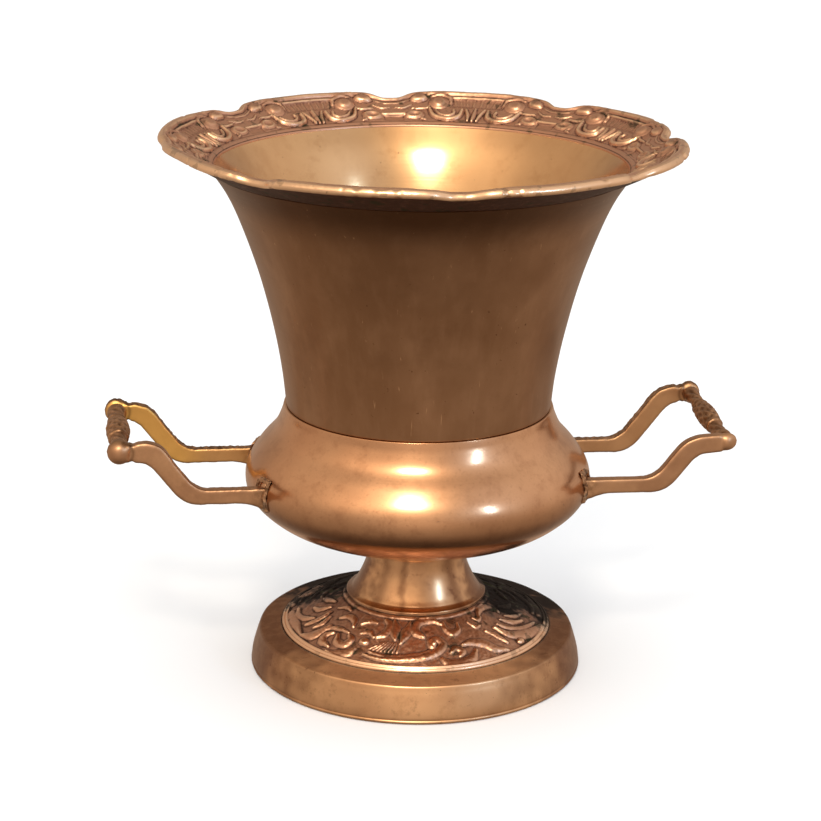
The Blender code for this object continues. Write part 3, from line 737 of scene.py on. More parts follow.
BELL_FINISH = spun_bell()
BOWL_FINISH = polished_bowl()
CAST_FINISH = aged_cast()
RIM_FINISH = cast_relief("rim_relief_brass", (0.28, 0.14, 0.095), (0.62, 0.355, 0.235), (0.95, 0.66, 0.43))
FOOT_FINISH = cast_relief("foot_relief_brass", (0.31, 0.165, 0.11), (0.64, 0.38, 0.25), (0.90, 0.60, 0.40))
HANDLE_FINISH = handle_cast()
SOLDER_FINISH = old_solder()
STEEL_FINISH = plated_steel()
RUBBER_FINISH = black_rubber()


# --- turned pieces ---

def inside_share(points, outer, wall):
    """1 on the inner side of a wall and 0 on its outer side, which follows the outline."""
    outline = np.array(sorted(outer, key=lambda p: p[1]))
    surface = np.interp(points[:, 2], outline[:, 1], outline[:, 0])
    return (level_radius(points) < surface - 0.6 * wall).astype(float)


def make_bell():
    foot = COLLAR_RADIUS - COLLAR_STEP
    shares = ((1.0, 1.0), (0.9, 0.79), (0.77, 0.6), (0.56, 0.36), (0.33, 0.165), (0.15, 0.055), (0.0, 0.0))
    rise = BELL_TOP - SHOULDER
    curve = [(foot + out * (BELL_RADIUS - foot), SHOULDER + up * rise) for up, out in shares]
    outer = evened(flowing(curve), 1.7 * MM)
    inner = offset(outer, BELL_WALL)
    spigot = COLLAR_RADIUS - BOWL_WALL - GAP
    socket = [(spigot, SHOULDER), (spigot, BELL_BOTTOM), (spigot - BELL_WALL, BELL_BOTTOM)]
    piece = turned("bell_surface", outer + socket + inner[-2::-1], SHELL_STEPS)
    points = points_of(piece)
    record_on(piece, "inside", inside_share(points, outer, BELL_WALL))
    below_rim = smooth_step(points[:, 2], BELL_TOP - 22 * MM, BELL_TOP - 3 * MM)
    sides = smooth_step(from_front(points, 263.0), 0.17, 0.48)
    sides *= smooth_step(points[:, 2], SHOULDER, BELL_TOP)
    record_on(piece, "shaded", np.maximum(below_rim, 0.9 * sides))
    swell = 0.16 * MM * uneven(points, 55 * MM) + 0.035 * MM * uneven(points, 13 * MM, 1.0)
    swell *= smooth_step(points[:, 2], SHOULDER, SHOULDER + 12 * MM)
    swell *= 1.0 - smooth_step(points[:, 2], BELL_TOP - 6 * MM, BELL_TOP)
    move_points(piece, points + outward_of(points) * swell[:, None])
    finish_piece(piece, BELL_FINISH, "bell_brass", "bell")


def bowl_curve():
    """The bowl's outer side from the collar's edge down to its flat floor."""
    tall = BOWL_TOP - BOWL_BOTTOM
    belly, spread = BOWL_RADIUS - COLLAR_RADIUS, BOWL_RADIUS - BOWL_FLOOR_RADIUS
    upper = ((1.0, 0.0), (0.93, 0.07), (0.82, 0.26), (0.71, 0.61), (0.595, 0.895), (0.49, 1.0))
    lower = ((0.375, 0.976), (0.27, 0.873), (0.17, 0.69), (0.09, 0.4), (0.02, 0.05))
    points = [(COLLAR_RADIUS + out * belly, BOWL_BOTTOM + up * tall) for up, out in upper]
    points += [(BOWL_FLOOR_RADIUS + out * spread, BOWL_BOTTOM + up * tall) for up, out in lower]
    return flowing(points)


def make_bowl():
    outer = evened(bowl_curve(), 1.3 * MM)
    inner = offset(outer, BOWL_WALL)[1:]
    lip = arc((COLLAR_RADIUS - 0.3 * MM, BOWL_TOP - 0.3 * MM), 0.3 * MM, 0, 90, 3)[::-1]
    inner_edge = [(COLLAR_RADIUS - BOWL_WALL, BOWL_TOP)]
    floor = [(BOWL_FLOOR_RADIUS, BOWL_BOTTOM), (15 * MM, BOWL_BOTTOM), (BORE_RADIUS, BOWL_BOTTOM)]
    floor += [(radius, BOWL_BOTTOM + BOWL_WALL) for radius in (BORE_RADIUS, 9 * MM, 15 * MM, 21 * MM)]
    piece = turned("bowl_surface", lip + outer[1:] + floor + inner[::-1] + inner_edge, SHELL_STEPS)
    points = points_of(piece)
    share = inside_share(points, [p for p in outer if p[1] > BOWL_BOTTOM], BOWL_WALL)
    record_on(piece, "inside", np.maximum(share, level_radius(points) < BOWL_FLOOR_RADIUS - MM))
    low_down = 1.0 - smooth_step(points[:, 2], BOWL_BOTTOM + 22 * MM, BOWL_BOTTOM + 36 * MM)
    low_down *= smooth_step(points[:, 2], BOWL_BOTTOM + 17 * MM, BOWL_BOTTOM + 21 * MM)
    sides = smooth_step(from_front(points, 268.0) + 0.08 * uneven(points, 20 * MM, 5.0), 0.3, 0.6)
    record_on(piece, "shaded", np.maximum(0.85 * low_down, 0.38 * sides))
    swell = 0.12 * MM * uneven(points, 40 * MM, 2.0) + 0.03 * MM * uneven(points, 10 * MM, 3.0)
    swell *= 1.0 - smooth_step(points[:, 2], BOWL_TOP - 12 * MM, BOWL_TOP - 2 * MM)
    swell *= smooth_step(points[:, 2], BOWL_BOTTOM, BOWL_BOTTOM + 8 * MM)
    move_points(piece, points + outward_of(points) * swell[:, None])
    finish_piece(piece, BOWL_FINISH, "bowl_brass", "bowl")


def make_stem():
    collar = STEM_TOP - 2 * STEM_TOP_ROUND
    waist = [(23.2, collar / MM - 0.5), (22.4, 54.2), (22.6, 49.3), (24.0, 44.7), (26.9, 38.6), (29.3, 34.9)]
    waist = [(radius * MM, height * MM) for radius, height in waist]
    top = arc((STEM_TOP_RADIUS - STEM_TOP_ROUND, STEM_TOP - STEM_TOP_ROUND), STEM_TOP_ROUND, 90, -90, 4)
    lip = arc((STEM_RADIUS - 0.6 * MM, STEM_BOTTOM + 0.9 * MM), 0.6 * MM, 75, -20, 4)
    outline = top + evened(flowing(waist), 0.9 * MM) + lip + [(STEM_RADIUS - 0.1 * MM, STEM_BOTTOM)]
    bore = [(STEM_BORE_RADIUS, STEM_BOTTOM), (STEM_BORE_RADIUS, STEM_TOP)]
    piece = turned("stem_surface", outline + bore, STEM_STEPS)
    points = points_of(piece)
    # Painted shade along the stem's foot and on its back
    low_down = 0.4 * smooth_step(STEM_BOTTOM + 1.2 * MM - points[:, 2], 0.0, 1.0 * MM)
    record_on(piece, "painted_shade", np.maximum(low_down, 0.9 * shade_at_back(points, 0.55)))
    patchy = 0.10 * uneven(points, 9 * MM, 6.0) + 0.08 * uneven(points, 3 * MM, 7.0)
    turn = np.degrees(turn_of(points)) % 360.0
    # Painted shade on the stem's sides away from the front
    shade_and_stains = 0.95 * smooth_step(from_front(points, 264.0) + patchy, 0.10, 0.34)
    # Painted dark reflections in streaks down the stem
    for middle, width, amount in STEM_DARK_REFLECTIONS:
        dark_reflection = amount * np.exp(-((turn + 30.0 * patchy - middle) / width) ** 2)
        shade_and_stains = np.maximum(shade_and_stains, dark_reflection)
    record_on(piece, "shade_and_stains", shade_and_stains)
    record_on(piece, "matt", np.full(len(points), -0.35))
    finish_piece(piece, CAST_FINISH, "foot_brass", "stem")


def foot_curve():
    fall, run = FOOT_TOP - BASE_TOP, FOOT_RADIUS - STEM_RADIUS
    shares = ((0.0, 0.0), (0.35, 0.30), (0.7, 0.66), (1.0, 1.0))
    return [(STEM_RADIUS + out * run, FOOT_TOP - down * fall) for out, down in shares]


def make_foot():
    curve = flowing(foot_curve())
    slope = np.array(curve)
    field = [p for p in evened(curve, 0.43 * MM) if p[0] < FOOT_RADIUS - BEAD_BAND]

    def on_cone(radius, lift):
        return (radius, float(np.interp(radius, slope[:, 0], slope[:, 1])) + lift)

    beads = []
    for middle in BEAD_RADII:
        for across, lift in ((-0.62, 0.0), (-0.42, 0.38), (0.0, 0.62), (0.42, 0.45), (0.62, 0.05)):
            beads.append(on_cone(middle + across * MM, lift * MM))
    flat = [(BORE_RADIUS, FOOT_TOP), (12 * MM, FOOT_TOP), (22 * MM, FOOT_TOP), (28 * MM, FOOT_TOP)]
    below = offset(curve, FOOT_WALL)
    under = [p for p in evened(below, 2.5 * MM) if p[0] < FOOT_RADIUS - 3.4 * MM]
    edge = [(FOOT_RADIUS, BASE_TOP - 0.4 * MM), (FOOT_RADIUS, FOOT_BOTTOM),
            (FOOT_RADIUS - 3 * MM, FOOT_BOTTOM)]
    end = [(STEM_RADIUS - FOOT_WALL, FOOT_TOP - FOOT_WALL), (BORE_RADIUS, FOOT_TOP - FOOT_WALL)]
    piece = turned("foot_relief", flat + field + beads + edge + under[::-1] + end, FOOT_STEPS)
    points = points_of(piece)
    radius = level_radius(points)
    surface = np.interp(radius, slope[:, 0], slope[:, 1])
    upper = (radius > STEM_RADIUS) & (radius < FOOT_RADIUS - BEAD_BAND + 0.3 * MM)
    upper &= points[:, 2] > surface - 0.4 * FOOT_WALL
    art, per_degree = foot_pattern()
    turn = np.degrees(turn_of(points)) % 180.0
    turn = np.where(turn < 170.0, turn + 180.0, turn)
    wander = uneven(points, 6 * MM, 4.0)
    x, y = turn * per_degree + 0.25 * wander, radius / MM + 0.2 * uneven(points, 7 * MM, 5.0)
    heights = art.heights()
    lift = art.read(heights, x, y) * (1.0 + 0.3 * uneven(points, 2.4 * MM, 8.0))
    lift += 0.18 * uneven(points, 1.2 * MM, 6.0) + 0.12 * uneven(points, 3.2 * MM, 7.0)
    rise = np.where(upper, lift, 0.0) * MM
    move_points(piece, points + normals_of(piece) * rise[:, None])
    low = (art.blurred(heights, 1.0) - heights) * 2.4 + 0.3 - 0.5 * art.raised
    hollow_and_shade = art.read(np.clip(low, 0.0, 1.0), x, y)
    crown = art.read(np.clip((heights - art.blurred(heights, 1.6)) * 1.8, 0.0, 1.0), x, y)
    beaded = radius > FOOT_RADIUS - BEAD_BAND
    # Painted shade on the foot's sides, away from the front
    hollow_and_shade = hollow_and_shade + 0.3 * smooth_step(from_front(points, 266.0), 0.05, 0.35)
    record_on(piece, "hollow_and_shade", np.where(upper, hollow_and_shade, np.where(beaded, 0.0, 0.5)))
    record_on(piece, "crown", np.where(upper, crown, np.where(beaded, 0.85, 0.0)))
    # Painted shade on the back of the foot, reaching further round near the stem
    near_stem = 0.16 * (1.0 - smooth_step(radius, 38 * MM, 54 * MM))
    record_on(piece, "painted_shade", 0.98 * shade_at_back(points, 0.42 - near_stem))
    finish_piece(piece, FOOT_FINISH, "relief_brass", "foot")


def make_plinth():
    edge = BASE_RADIUS - 3.4 * MM
    opening = FOOT_RADIUS + GAP
    step_height = BASE_TOP - 2.8 * MM
    ledge = BASE_TOP - FOOT_WALL - GAP
    dish = [(opening, BASE_TOP - 0.35 * MM), (64.0 * MM, BASE_TOP - 1.0 * MM),
            (67.4 * MM, BASE_TOP - 1.55 * MM), (70.2 * MM, BASE_TOP - 2.0 * MM)]
    shoulder = [(70.9 * MM, step_height + 0.55 * MM), (71.3 * MM, step_height + 0.2 * MM),
                (71.52 * MM, step_height - 0.3 * MM)]
    skirt = [(71.8 * MM, step_height - 1.3 * MM), (72.45 * MM, 12.6 * MM), (73.1 * MM, 10.4 * MM),
             (73.95 * MM, 7.3 * MM), (74.55 * MM, 4.6 * MM), (74.85 * MM, 2.1 * MM)]
    foot_line = arc((BASE_RADIUS - 0.75 * MM, 0.85 * MM), 0.8 * MM, 62, -75, 6)
    inner = [(BASE_RADIUS - SKIRT_WALL, 0.0), (edge - SKIRT_WALL, ledge - FOOT_WALL - 1.5 * MM),
             (opening - 4.0 * MM, ledge - FOOT_WALL), (opening - 4.0 * MM, ledge), (opening, ledge)]
    outer = evened(flowing(dish), 1.0 * MM) + shoulder + evened(flowing(skirt), 1.0 * MM) + foot_line
    piece = turned("plinth_surface", outer + inner, SHELL_STEPS)
    points = points_of(piece)
    radius = level_radius(points)
    swell = 0.13 * MM * uneven(points, 22 * MM, 3.0) + 0.05 * MM * uneven(points, 7 * MM, 4.0)
    swell *= smooth_step(points[:, 2], 1.8 * MM, 4.0 * MM) * (radius > opening + MM)
    move_points(piece, points + normals_of(piece) * swell[:, None])
    outline = np.array(outer[::-1])
    # Painted shade: on the underside, in the groove round the foot and on the back of the plinth's top
    under = radius < np.interp(points[:, 2], outline[:, 1], outline[:, 0]) - 1.2 * MM
    under &= points[:, 2] < ledge - MM
    groove = 0.8 * (1.0 - smooth_step(radius, opening, opening + 0.7 * MM)) * (points[:, 2] > ledge)
    back = 0.95 * shade_at_back(points, 0.58) * smooth_step(points[:, 2], 6 * MM, 16 * MM)
    record_on(piece, "painted_shade", np.maximum(np.maximum(back, groove), 0.6 * under))
    # Painted shade on the plinth's sides, away from the front
    patchy = 0.12 * uneven(points, 16 * MM, 6.0) + 0.08 * uneven(points, 6 * MM, 7.0)
    record_on(piece, "shade_and_stains", 0.95 * smooth_step(from_front(points, 266.0) + patchy, 0.02, 0.30))
    record_on(piece, "matt", 1.2 * (radius < 70.6 * MM) * (points[:, 2] > ledge))
    finish_piece(piece, CAST_FINISH, "foot_brass", "plinth")


# --- rim ---

def lobe_share(angle):
    """How far the rim reaches at each angle, as a share of its width: 1 on a lobe and less in a notch."""
    pitch = 2 * pi / RIM_LOBES
    from_notch = (angle - RIM_TURN + pitch / 2) % pitch - pitch / 2
    dip = 1.0 / (1.0 + (from_notch / NOTCH_HALF_WIDTH) ** 4)
    whole_turn = angle % (2 * pi)
    dip = dip * (1.0 - SHALLOW_NOTCH * (np.abs(whole_turn - pi - RIM_TURN) < pitch / 2))
    bent_in = BENT_IN * np.exp(-((whole_turn - BENT_IN_AT) / BENT_IN_REACH) ** 2)
    return 1.0 - NOTCH_DEPTH * dip - bent_in - 0.02 * np.cos(pi * from_notch / (pitch / 2))


def make_rim():
    width = RIM_RADIUS - SEAT_RADIUS
    rising = ((0.0, 0.0), (0.09, 0.0), (0.25, 0.14), (0.55, 0.5), (0.82, 0.86), (1.0, 1.0))
    under = flowing([(SEAT_RADIUS + out * width, RIM_BOTTOM + up * RIM_RISE) for out, up in rising])
    upper = [p for p in offset(under, -RIM_THICKNESS) if p[0] < RIM_RADIUS - 1.5 * MM]
    inner_round = [(SEAT_RADIUS, RIM_BOTTOM + 0.6 * MM), (SEAT_RADIUS + 0.3 * MM, RIM_BOTTOM + 1.1 * MM),
                   (SEAT_RADIUS + 1.0 * MM, RIM_BOTTOM + 1.75 * MM)]
    top = flowing(inner_round + [p for p in upper if p[0] > SEAT_RADIUS + 3.0 * MM], 4)
    top = evened(top, 0.5 * MM)
    bottom = evened(under[::-1], 3.0 * MM)
    a, b = Vector(top[-1]), Vector(bottom[0])
    across = (a - b) / 2
    outward = Vector((across.y, -across.x))
    rounding = ((0.93, 0.42), (0.72, 0.72), (0.35, 0.82), (0.0, 0.84), (-0.4, 0.78), (-0.8, 0.5))
    lip = [tuple((a + b) / 2 + across * along_lip + outward * out) for along_lip, out in rounding]
    piece = turned("rim_relief", top + lip + bottom, RIM_STEPS)
    points = points_of(piece)
    radius = level_radius(points)
    angle = turn_of(points)
    path = np.array(top)
    run = np.concatenate([[0.0], np.cumsum(np.hypot(*np.diff(path, axis=0).T))]) / MM
    along = np.interp(radius, path[:, 0], run)
    below = np.array(under)
    above = points[:, 2] - np.interp(radius, below[:, 0], below[:, 1])
    on_top = (above > 0.55 * RIM_THICKNESS) & (radius < path[-1, 0] + 0.2 * MM)
    pitch = 2 * pi / RIM_LOBES
    across_lobe = (angle - RIM_TURN) % pitch - pitch / 2
    wander = uneven(points, 9 * MM, 2.0)
    x = np.abs(across_lobe) * RIM_ART_RADIUS + 0.3 * wander
    y = along * RIM_ART_WIDTH / run[-1] + 0.25 * uneven(points, 8 * MM, 3.0)
    art = rim_pattern()
    heights = art.heights()
    lift = art.read(heights, x, y) * (1.0 + 0.15 * wander)
    lift += 0.09 * uneven(points, 1.3 * MM, 4.0) * smooth_step(y, 2.0, 5.0) + 0.08 * wander
    normals = normals_of(piece)
    rise = np.where(on_top, lift, 0.0) * MM
    lip_share = smooth_step(radius, RIM_RADIUS - 2.4 * MM, RIM_RADIUS - 1.2 * MM)
    dents = np.clip(uneven(points * (1.0, 1.0, 0.0), 4.5 * MM, 5.0) - 0.28, 0.0, 1.0)
    rise -= lip_share * (1.5 * dents + 0.12 * np.abs(uneven(points, 2.2 * MM, 6.0))) * MM
    points = points + normals * rise[:, None]
    share = lobe_share(angle)
    radius = level_radius(points)
    reach = SEAT_RADIUS + (radius - SEAT_RADIUS) * share
    points[:, :2] *= (reach / radius)[:, None]
    lowered = 1.0 - (1.0 - share) * (radius - SEAT_RADIUS) / width
    points[:, 2] = RIM_BOTTOM + (points[:, 2] - RIM_BOTTOM) * lowered
    outer_share = np.clip((radius - SEAT_RADIUS) / width, 0.0, 1.0)
    points[:, 2] += 0.35 * MM * uneven(points * (1.0, 1.0, 0.0), 30 * MM, 7.0) * outer_share
    bent_up = np.exp(-((angle % (2 * pi) - BENT_UP_AT) / BENT_UP_REACH) ** 2)
    points[:, 2] += BENT_UP * bent_up * outer_share
    move_points(piece, points)
    low = (art.blurred(heights, 1.0) - heights) * 2.2 + 0.25 - 0.4 * art.raised
    hollow_and_shade = art.read(np.clip(low, 0.0, 1.0), x, y)
    crown = art.read(np.clip((heights - art.blurred(heights, 1.8)) * 1.5, 0.0, 1.0), x, y)
    # Painted shade: the rim's underside is marked dark like its hollows
    shade_below_rim = np.where(radius < SEAT_RADIUS + 0.5 * MM, 0.0, 1.0 - lip_share)
    record_on(piece, "hollow_and_shade", np.where(on_top, hollow_and_shade * smooth_step(y, 1.5, 4.0), shade_below_rim))
    crown = np.where(on_top, np.maximum(crown, lip_share), 0.25 + 0.6 * lip_share)
    record_on(piece, "crown", crown)
    record_on(piece, "painted_shade", np.zeros(len(points)))
    finish_piece(piece, RIM_FINISH, "relief_brass", "rim")


# --- handles ---

def bowl_reach(height):
    """The bowl's outer radius at each height."""
    curve = np.array(sorted(((p[1], p[0]) for p in bowl_curve())))
    return np.interp(height, curve[:, 0], curve[:, 1])


def arm_name(side, back):
    return f"{'left' if side == LEFT else 'right'}_{'back' if back == BACK else 'front'}_arm"


def arm_end(side, back):
    """Where an arm's rounded end is centred: how far out, and how high."""
    low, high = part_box(arm_name(side, back))
    traits = ARM_TRAITS[(side, back)]
    return max(abs(low.x), abs(high.x)) - BOSS_RADIUS + traits.out, high.z - BOSS_RADIUS + traits.up


def arm_line(reach, rise, tail, beyond):
    """An arm's middle line in x and height above its root: level, up an S bend and out to its end."""
    turned_up = ARM_BEND * (1 - cos(ARM_SLOPE))
    turned_level = ARM_BEND * (cos(ARM_END_SLOPE) - cos(ARM_SLOPE))
    straight = (rise - turned_up - turned_level - tail * sin(ARM_END_SLOPE)) / sin(ARM_SLOPE)
    bend_run = ARM_BEND * (2 * sin(ARM_SLOPE) - sin(ARM_END_SLOPE))
    start = reach - bend_run - straight * cos(ARM_SLOPE) - tail * cos(ARM_END_SLOPE)
    line = [(ARM_START, 0.0)]
    for step in range(9):
        angle = ARM_SLOPE * step / 8
        line.append((start + ARM_BEND * sin(angle), ARM_BEND * (1 - cos(angle))))
    x, z = line[-1][0] + straight * cos(ARM_SLOPE), line[-1][1] + straight * sin(ARM_SLOPE)
    for step in range(9):
        angle = ARM_SLOPE + (ARM_END_SLOPE - ARM_SLOPE) * step / 8
        line.append((x + ARM_BEND * (sin(ARM_SLOPE) - sin(angle)),
                     z + ARM_BEND * (cos(angle) - cos(ARM_SLOPE))))
    tip = (reach + beyond * cos(ARM_END_SLOPE), rise + beyond * sin(ARM_END_SLOPE))
    return line + [(reach, rise), tip]


def make_arm(side, back):
    """Models the bar straight, a ring of points extruded station by station, and lays it on its bend."""
    node = arm_name(side, back)
    traits = ARM_TRAITS[(side, back)]
    creased = traits.ball > CREASED_BALL
    reach, end_height = arm_end(side, back)
    rise = end_height - ARM_ROOT_HEIGHT
    beyond = max(traits.ball, BOSS_RADIUS)
    path = np.array(evened(arm_line(reach, rise, traits.tail, beyond), ARM_STATION))
    heading = np.gradient(path, axis=0)
    heading /= np.hypot(*heading.T)[:, None]
    run = np.concatenate([[0.0], np.cumsum(np.hypot(*np.diff(path, axis=0).T))])
    from_boss = run - (run[-1] - beyond)
    slope = np.arctan2(heading[:, 1], heading[:, 0])
    swell = np.clip(slope / (0.6 * ARM_SLOPE), 0.0, 1.0) ** 0.7
    swell = np.maximum(swell, 0.75 * smooth_step(run, 0.5 * run[-1], 0.75 * run[-1]))
    bar = (ARM_DEPTH + ARM_SWELL * swell) / 2 + 0.35 * MM
    flare = ARM_FLARE * np.clip(1.0 - run / FLARE_LENGTH, 0.0, 1.0) ** 2
    end = np.sqrt(np.clip(1.0 - (np.maximum(from_boss, 0.0) / beyond) ** 2, 0.002, 1.0))
    ball = np.sqrt(np.maximum(traits.ball ** 2 - from_boss ** 2, 0.0))
    hump = traits.hump * np.exp(-((from_boss + 13 * MM) / (6 * MM)) ** 2)
    crease = 1.0 - 0.16 * np.exp(-((from_boss + 1.05 * traits.ball) / (1.0 * MM)) ** 2)
    bar = bar * end * (crease if creased else 1.0)
    roundness = smooth_step(from_boss, -traits.ball, -0.5 * traits.ball)

    bpy.ops.object.select_all(action="DESELECT")
    bpy.ops.mesh.primitive_circle_add(vertices=ARM_RING, radius=MM, fill_type="NGON",
                                      rotation=(0.0, pi / 2, 0.0))
    apply_place()
    piece = bpy.context.active_object
    piece.name = piece.data.name = node.replace("_arm", "_bar")
    bpy.ops.object.mode_set(mode="EDIT")
    for _ in range(len(path) - 1):
        bpy.ops.mesh.extrude_region_move(TRANSFORM_OT_translate={"value": (MM, 0.0, 0.0)})
    bpy.ops.object.mode_set(mode="OBJECT")
    points = points_of(piece)
    station = np.clip(np.rint(points[:, 0] / MM).astype(int), 0, len(path) - 1)
    turn = np.arctan2(points[:, 2], points[:, 1])
    power = 9.0 - 6.8 * roundness[station]
    reach_out = (np.abs(np.cos(turn)) ** power + np.abs(np.sin(turn)) ** power) ** (-1.0 / power)
    across, up = reach_out * np.cos(turn), reach_out * np.sin(turn)
    half = np.maximum(bar, ball)[station] + np.where(up < 0, 2.0 * flare[station], hump[station])
    outer = np.sign(across) == back
    half_width = (ARM_THICKNESS / 2 * end)[station]
    half_width = np.where(outer, np.maximum(half_width, 0.96 * ball[station]), half_width)
    depth = up * half
    x = path[station, 0] - depth * heading[station, 1]
    z = ARM_ROOT_HEIGHT + path[station, 1] + depth * heading[station, 0]
    y = back * ARM_SPREAD + across * half_width
    surface = np.sqrt((bowl_reach(z) + 0.12 * MM) ** 2 - y ** 2)
    near_bowl = np.maximum(x, surface + 0.02 * MM * station)
    x = np.where(station == 0, surface, np.where(station < 16, near_bowl, x))
    move_points(piece, np.stack([side * x, y, z], 1))
    bpy.ops.object.mode_set(mode="EDIT")
    close_up(60.0)

    points, normals = points_of(piece), normals_of(piece)
    upward = smooth_step(normals[:, 2], 0.1, 0.7)
    facing_in = smooth_step(-back * normals[:, 1], 0.5, 0.9)
    coarse = traits.roughness * (0.25 + 0.75 * upward) * (1.0 - 0.9 * facing_in)
    away = np.hypot(np.abs(points[:, 0]) - reach, points[:, 2] - ARM_ROOT_HEIGHT - rise)
    if back == FRONT:
        coarse *= smooth_step(away, 0.6 * BOSS_RADIUS, 1.4 * BOSS_RADIUS)
    lumps = 0.14 * uneven(points, 5 * MM, 2.0)
    lumps += coarse * (0.42 * uneven(points, 1.7 * MM, 3.0) + 0.2 * uneven(points, 0.8 * MM, 4.0))
    near_root = 1.0 - smooth_step(np.abs(points[:, 0]), 71 * MM, 80 * MM)
    lumps += near_root * 0.35 * uneven(points, 2.4 * MM, 5.0)
    lumps *= smooth_step(np.abs(points[:, 0]), 70.5 * MM, 72.5 * MM)
    move_points(piece, points + normals * (lumps * MM)[:, None])
    record_on(piece, "coarse", np.maximum(coarse, 0.5 * near_root))
    # Painted reflection on the inner faces, strongest on the left back arm towards its end
    outward = smooth_step(np.abs(points[:, 0]), 90 * MM, 108 * MM)
    reflection_share = 0.4 + 0.6 * outward if (side, back) == (LEFT, BACK) else 0.12
    record_on(piece, "painted_reflection", facing_in * reflection_share)
    in_crease = np.exp(-((away / traits.ball - 1.08) / 0.12) ** 2) if creased else 0.0
    speckled = coarse * (uneven(points, 2.5 * MM, 6.0) > 0.15)
    # Painted shade on the back arms' undersides
    under = 0.5 * smooth_step(-normals[:, 2], 0.3, 0.9) * (back == BACK)
    record_on(piece, "hollow_and_shade", np.clip(0.7 * in_crease + 0.45 * speckled + under, 0.0, 1.0))
    finish_piece(piece, HANDLE_FINISH, "handle_brass", node)


def make_grip(side):
    """A turned baluster with collars and a crosshatched knob, laid between the two arms' ends."""
    word = "left" if side == LEFT else "right"
    front_x, front_z = arm_end(side, FRONT)
    rear_x, rear_z = arm_end(side, BACK)
    low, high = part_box(f"{word}_grip")
    half = (high.y - low.y) / 2
    outline = [(4.2, 1.0), (4.3, 0.93), (3.8, 0.84), (3.3, 0.74), (3.3, 0.56), (3.6, 0.47), (4.3, 0.44),
               (4.5, 0.40), (4.2, 0.365), (4.3, 0.33), (4.8, 0.2), (5.1, 0.08), (5.15, 0.0)]
    outline += [(radius, -along) for radius, along in outline[-2::-1]]
    slim = 1.0 if side == LEFT else 0.88
    shape = evened(flowing([(slim * radius * MM, along * half) for radius, along in outline], 6), 0.3 * MM)
    shape = [(0.0, half)] + shape + [(0.0, -half)]
    piece = turned(f"{word}_grip_surface", shape, GRIP_STEPS, closed=False)
    points = points_of(piece)
    angle = turn_of(points)
    share = points[:, 2] / half
    knob = 1.0 - smooth_step(np.abs(share), 0.30, 0.36)
    neck = smooth_step(np.abs(share), 0.48, 0.56) * (1.0 - smooth_step(np.abs(share), 0.8, 0.9))
    pitch = points[:, 2] / (1.9 * MM)
    hatch = np.maximum(np.sin(7 * angle + 2.2 * pitch), np.sin(7 * angle - 2.2 * pitch)) - 0.3
    twist = np.sin(5 * angle + 2.0 * pitch)
    lumps = 0.26 * knob * hatch + 0.24 * neck * twist + 0.2 * uneven(points, 1.6 * MM, 1.0 + side)
    lumps += 0.18 * uneven(points, 4.0 * MM, 3.0)
    lumps *= 1.0 - smooth_step(np.abs(share), 0.93, 0.97)
    move_points(piece, points + normals_of(piece) * (lumps * MM)[:, None])
    record_on(piece, "coarse", np.full(len(points), 0.5))
    record_on(piece, "painted_reflection", np.zeros(len(points)))
    record_on(piece, "hollow_and_shade", np.clip(0.15 - 1.5 * lumps, 0.0, 0.75))
    along = Vector((side * (front_x - rear_x), -2 * half, front_z - rear_z))
    bpy.ops.object.select_all(action="DESELECT")
    piece.select_set(True)
    piece.rotation_euler = along.to_track_quat("Z", "X").to_euler()
    piece.location = (side * (front_x + rear_x) / 2, 0.0, (front_z + rear_z) / 2)
    apply_place()
    finish_piece(piece, HANDLE_FINISH, "handle_brass", f"{word}_grip")


def make_solder(node):
    """A copy of the solder's CAD solid, remeshed fine and worked into an uneven bead."""
    bpy.ops.object.select_all(action="DESELECT")
    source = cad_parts[node]
    piece = bpy.data.objects.new(node.replace("_solder", "_solder_bead"), source.data.copy())
    bpy.context.scene.collection.objects.link(piece)
    bpy.context.view_layer.objects.active = piece
    piece.select_set(True)
    bpy.ops.object.mode_set(mode="EDIT")
    bpy.ops.mesh.select_all(action="SELECT")
    bpy.ops.mesh.remove_doubles(threshold=0.005 * MM)
    bpy.ops.object.mode_set(mode="OBJECT")
    remesh = piece.modifiers.new("even_faces", "REMESH")
    remesh.mode = "VOXEL"
    remesh.voxel_size = 0.22 * MM
    bpy.ops.object.modifier_apply(modifier=remesh.name)
    smooth = piece.modifiers.new("run_in", "SMOOTH")
    smooth.factor = 0.5
    smooth.iterations = 8
    bpy.ops.object.modifier_apply(modifier=smooth.name)
    points = points_of(piece)
    normals = normals_of(piece)
    height = (points[:, 2] - points[:, 2].min()) / np.ptp(points[:, 2])
    lumps = 0.28 * uneven(points, 2.2 * MM, 5.0) - 0.12 - 0.25 * smooth_step(height, 0.3, 0.7)
    move_points(piece, points + normals * (lumps * MM)[:, None])
    record_on(piece, "bare", (1.0 - smooth_step(height, 0.25, 0.5)) * smooth_step(lumps, -0.3, 0.1))
    bpy.ops.object.shade_smooth_by_angle(angle=radians(60))
    finish_piece(piece, SOLDER_FINISH, "solder", node)


make_bell()
make_bowl()
make_stem()
make_foot()
make_plinth()
make_rim()
for side in (LEFT, RIGHT):
    for back in (FRONT, BACK):
        make_arm(side, back)
    make_grip(side)
for node in sorted(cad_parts):
    if node.endswith("_solder"):
        make_solder(node)
for node, material in (("tie_bolt", STEEL_FINISH), ("foot_washer", STEEL_FINISH), ("foot_nut", STEEL_FINISH),
                       ("seal_washer", RUBBER_FINISH)):
    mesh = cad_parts[node].data
    mesh.materials.clear()
    mesh.materials.append(material)


# --- floor, light and background ---

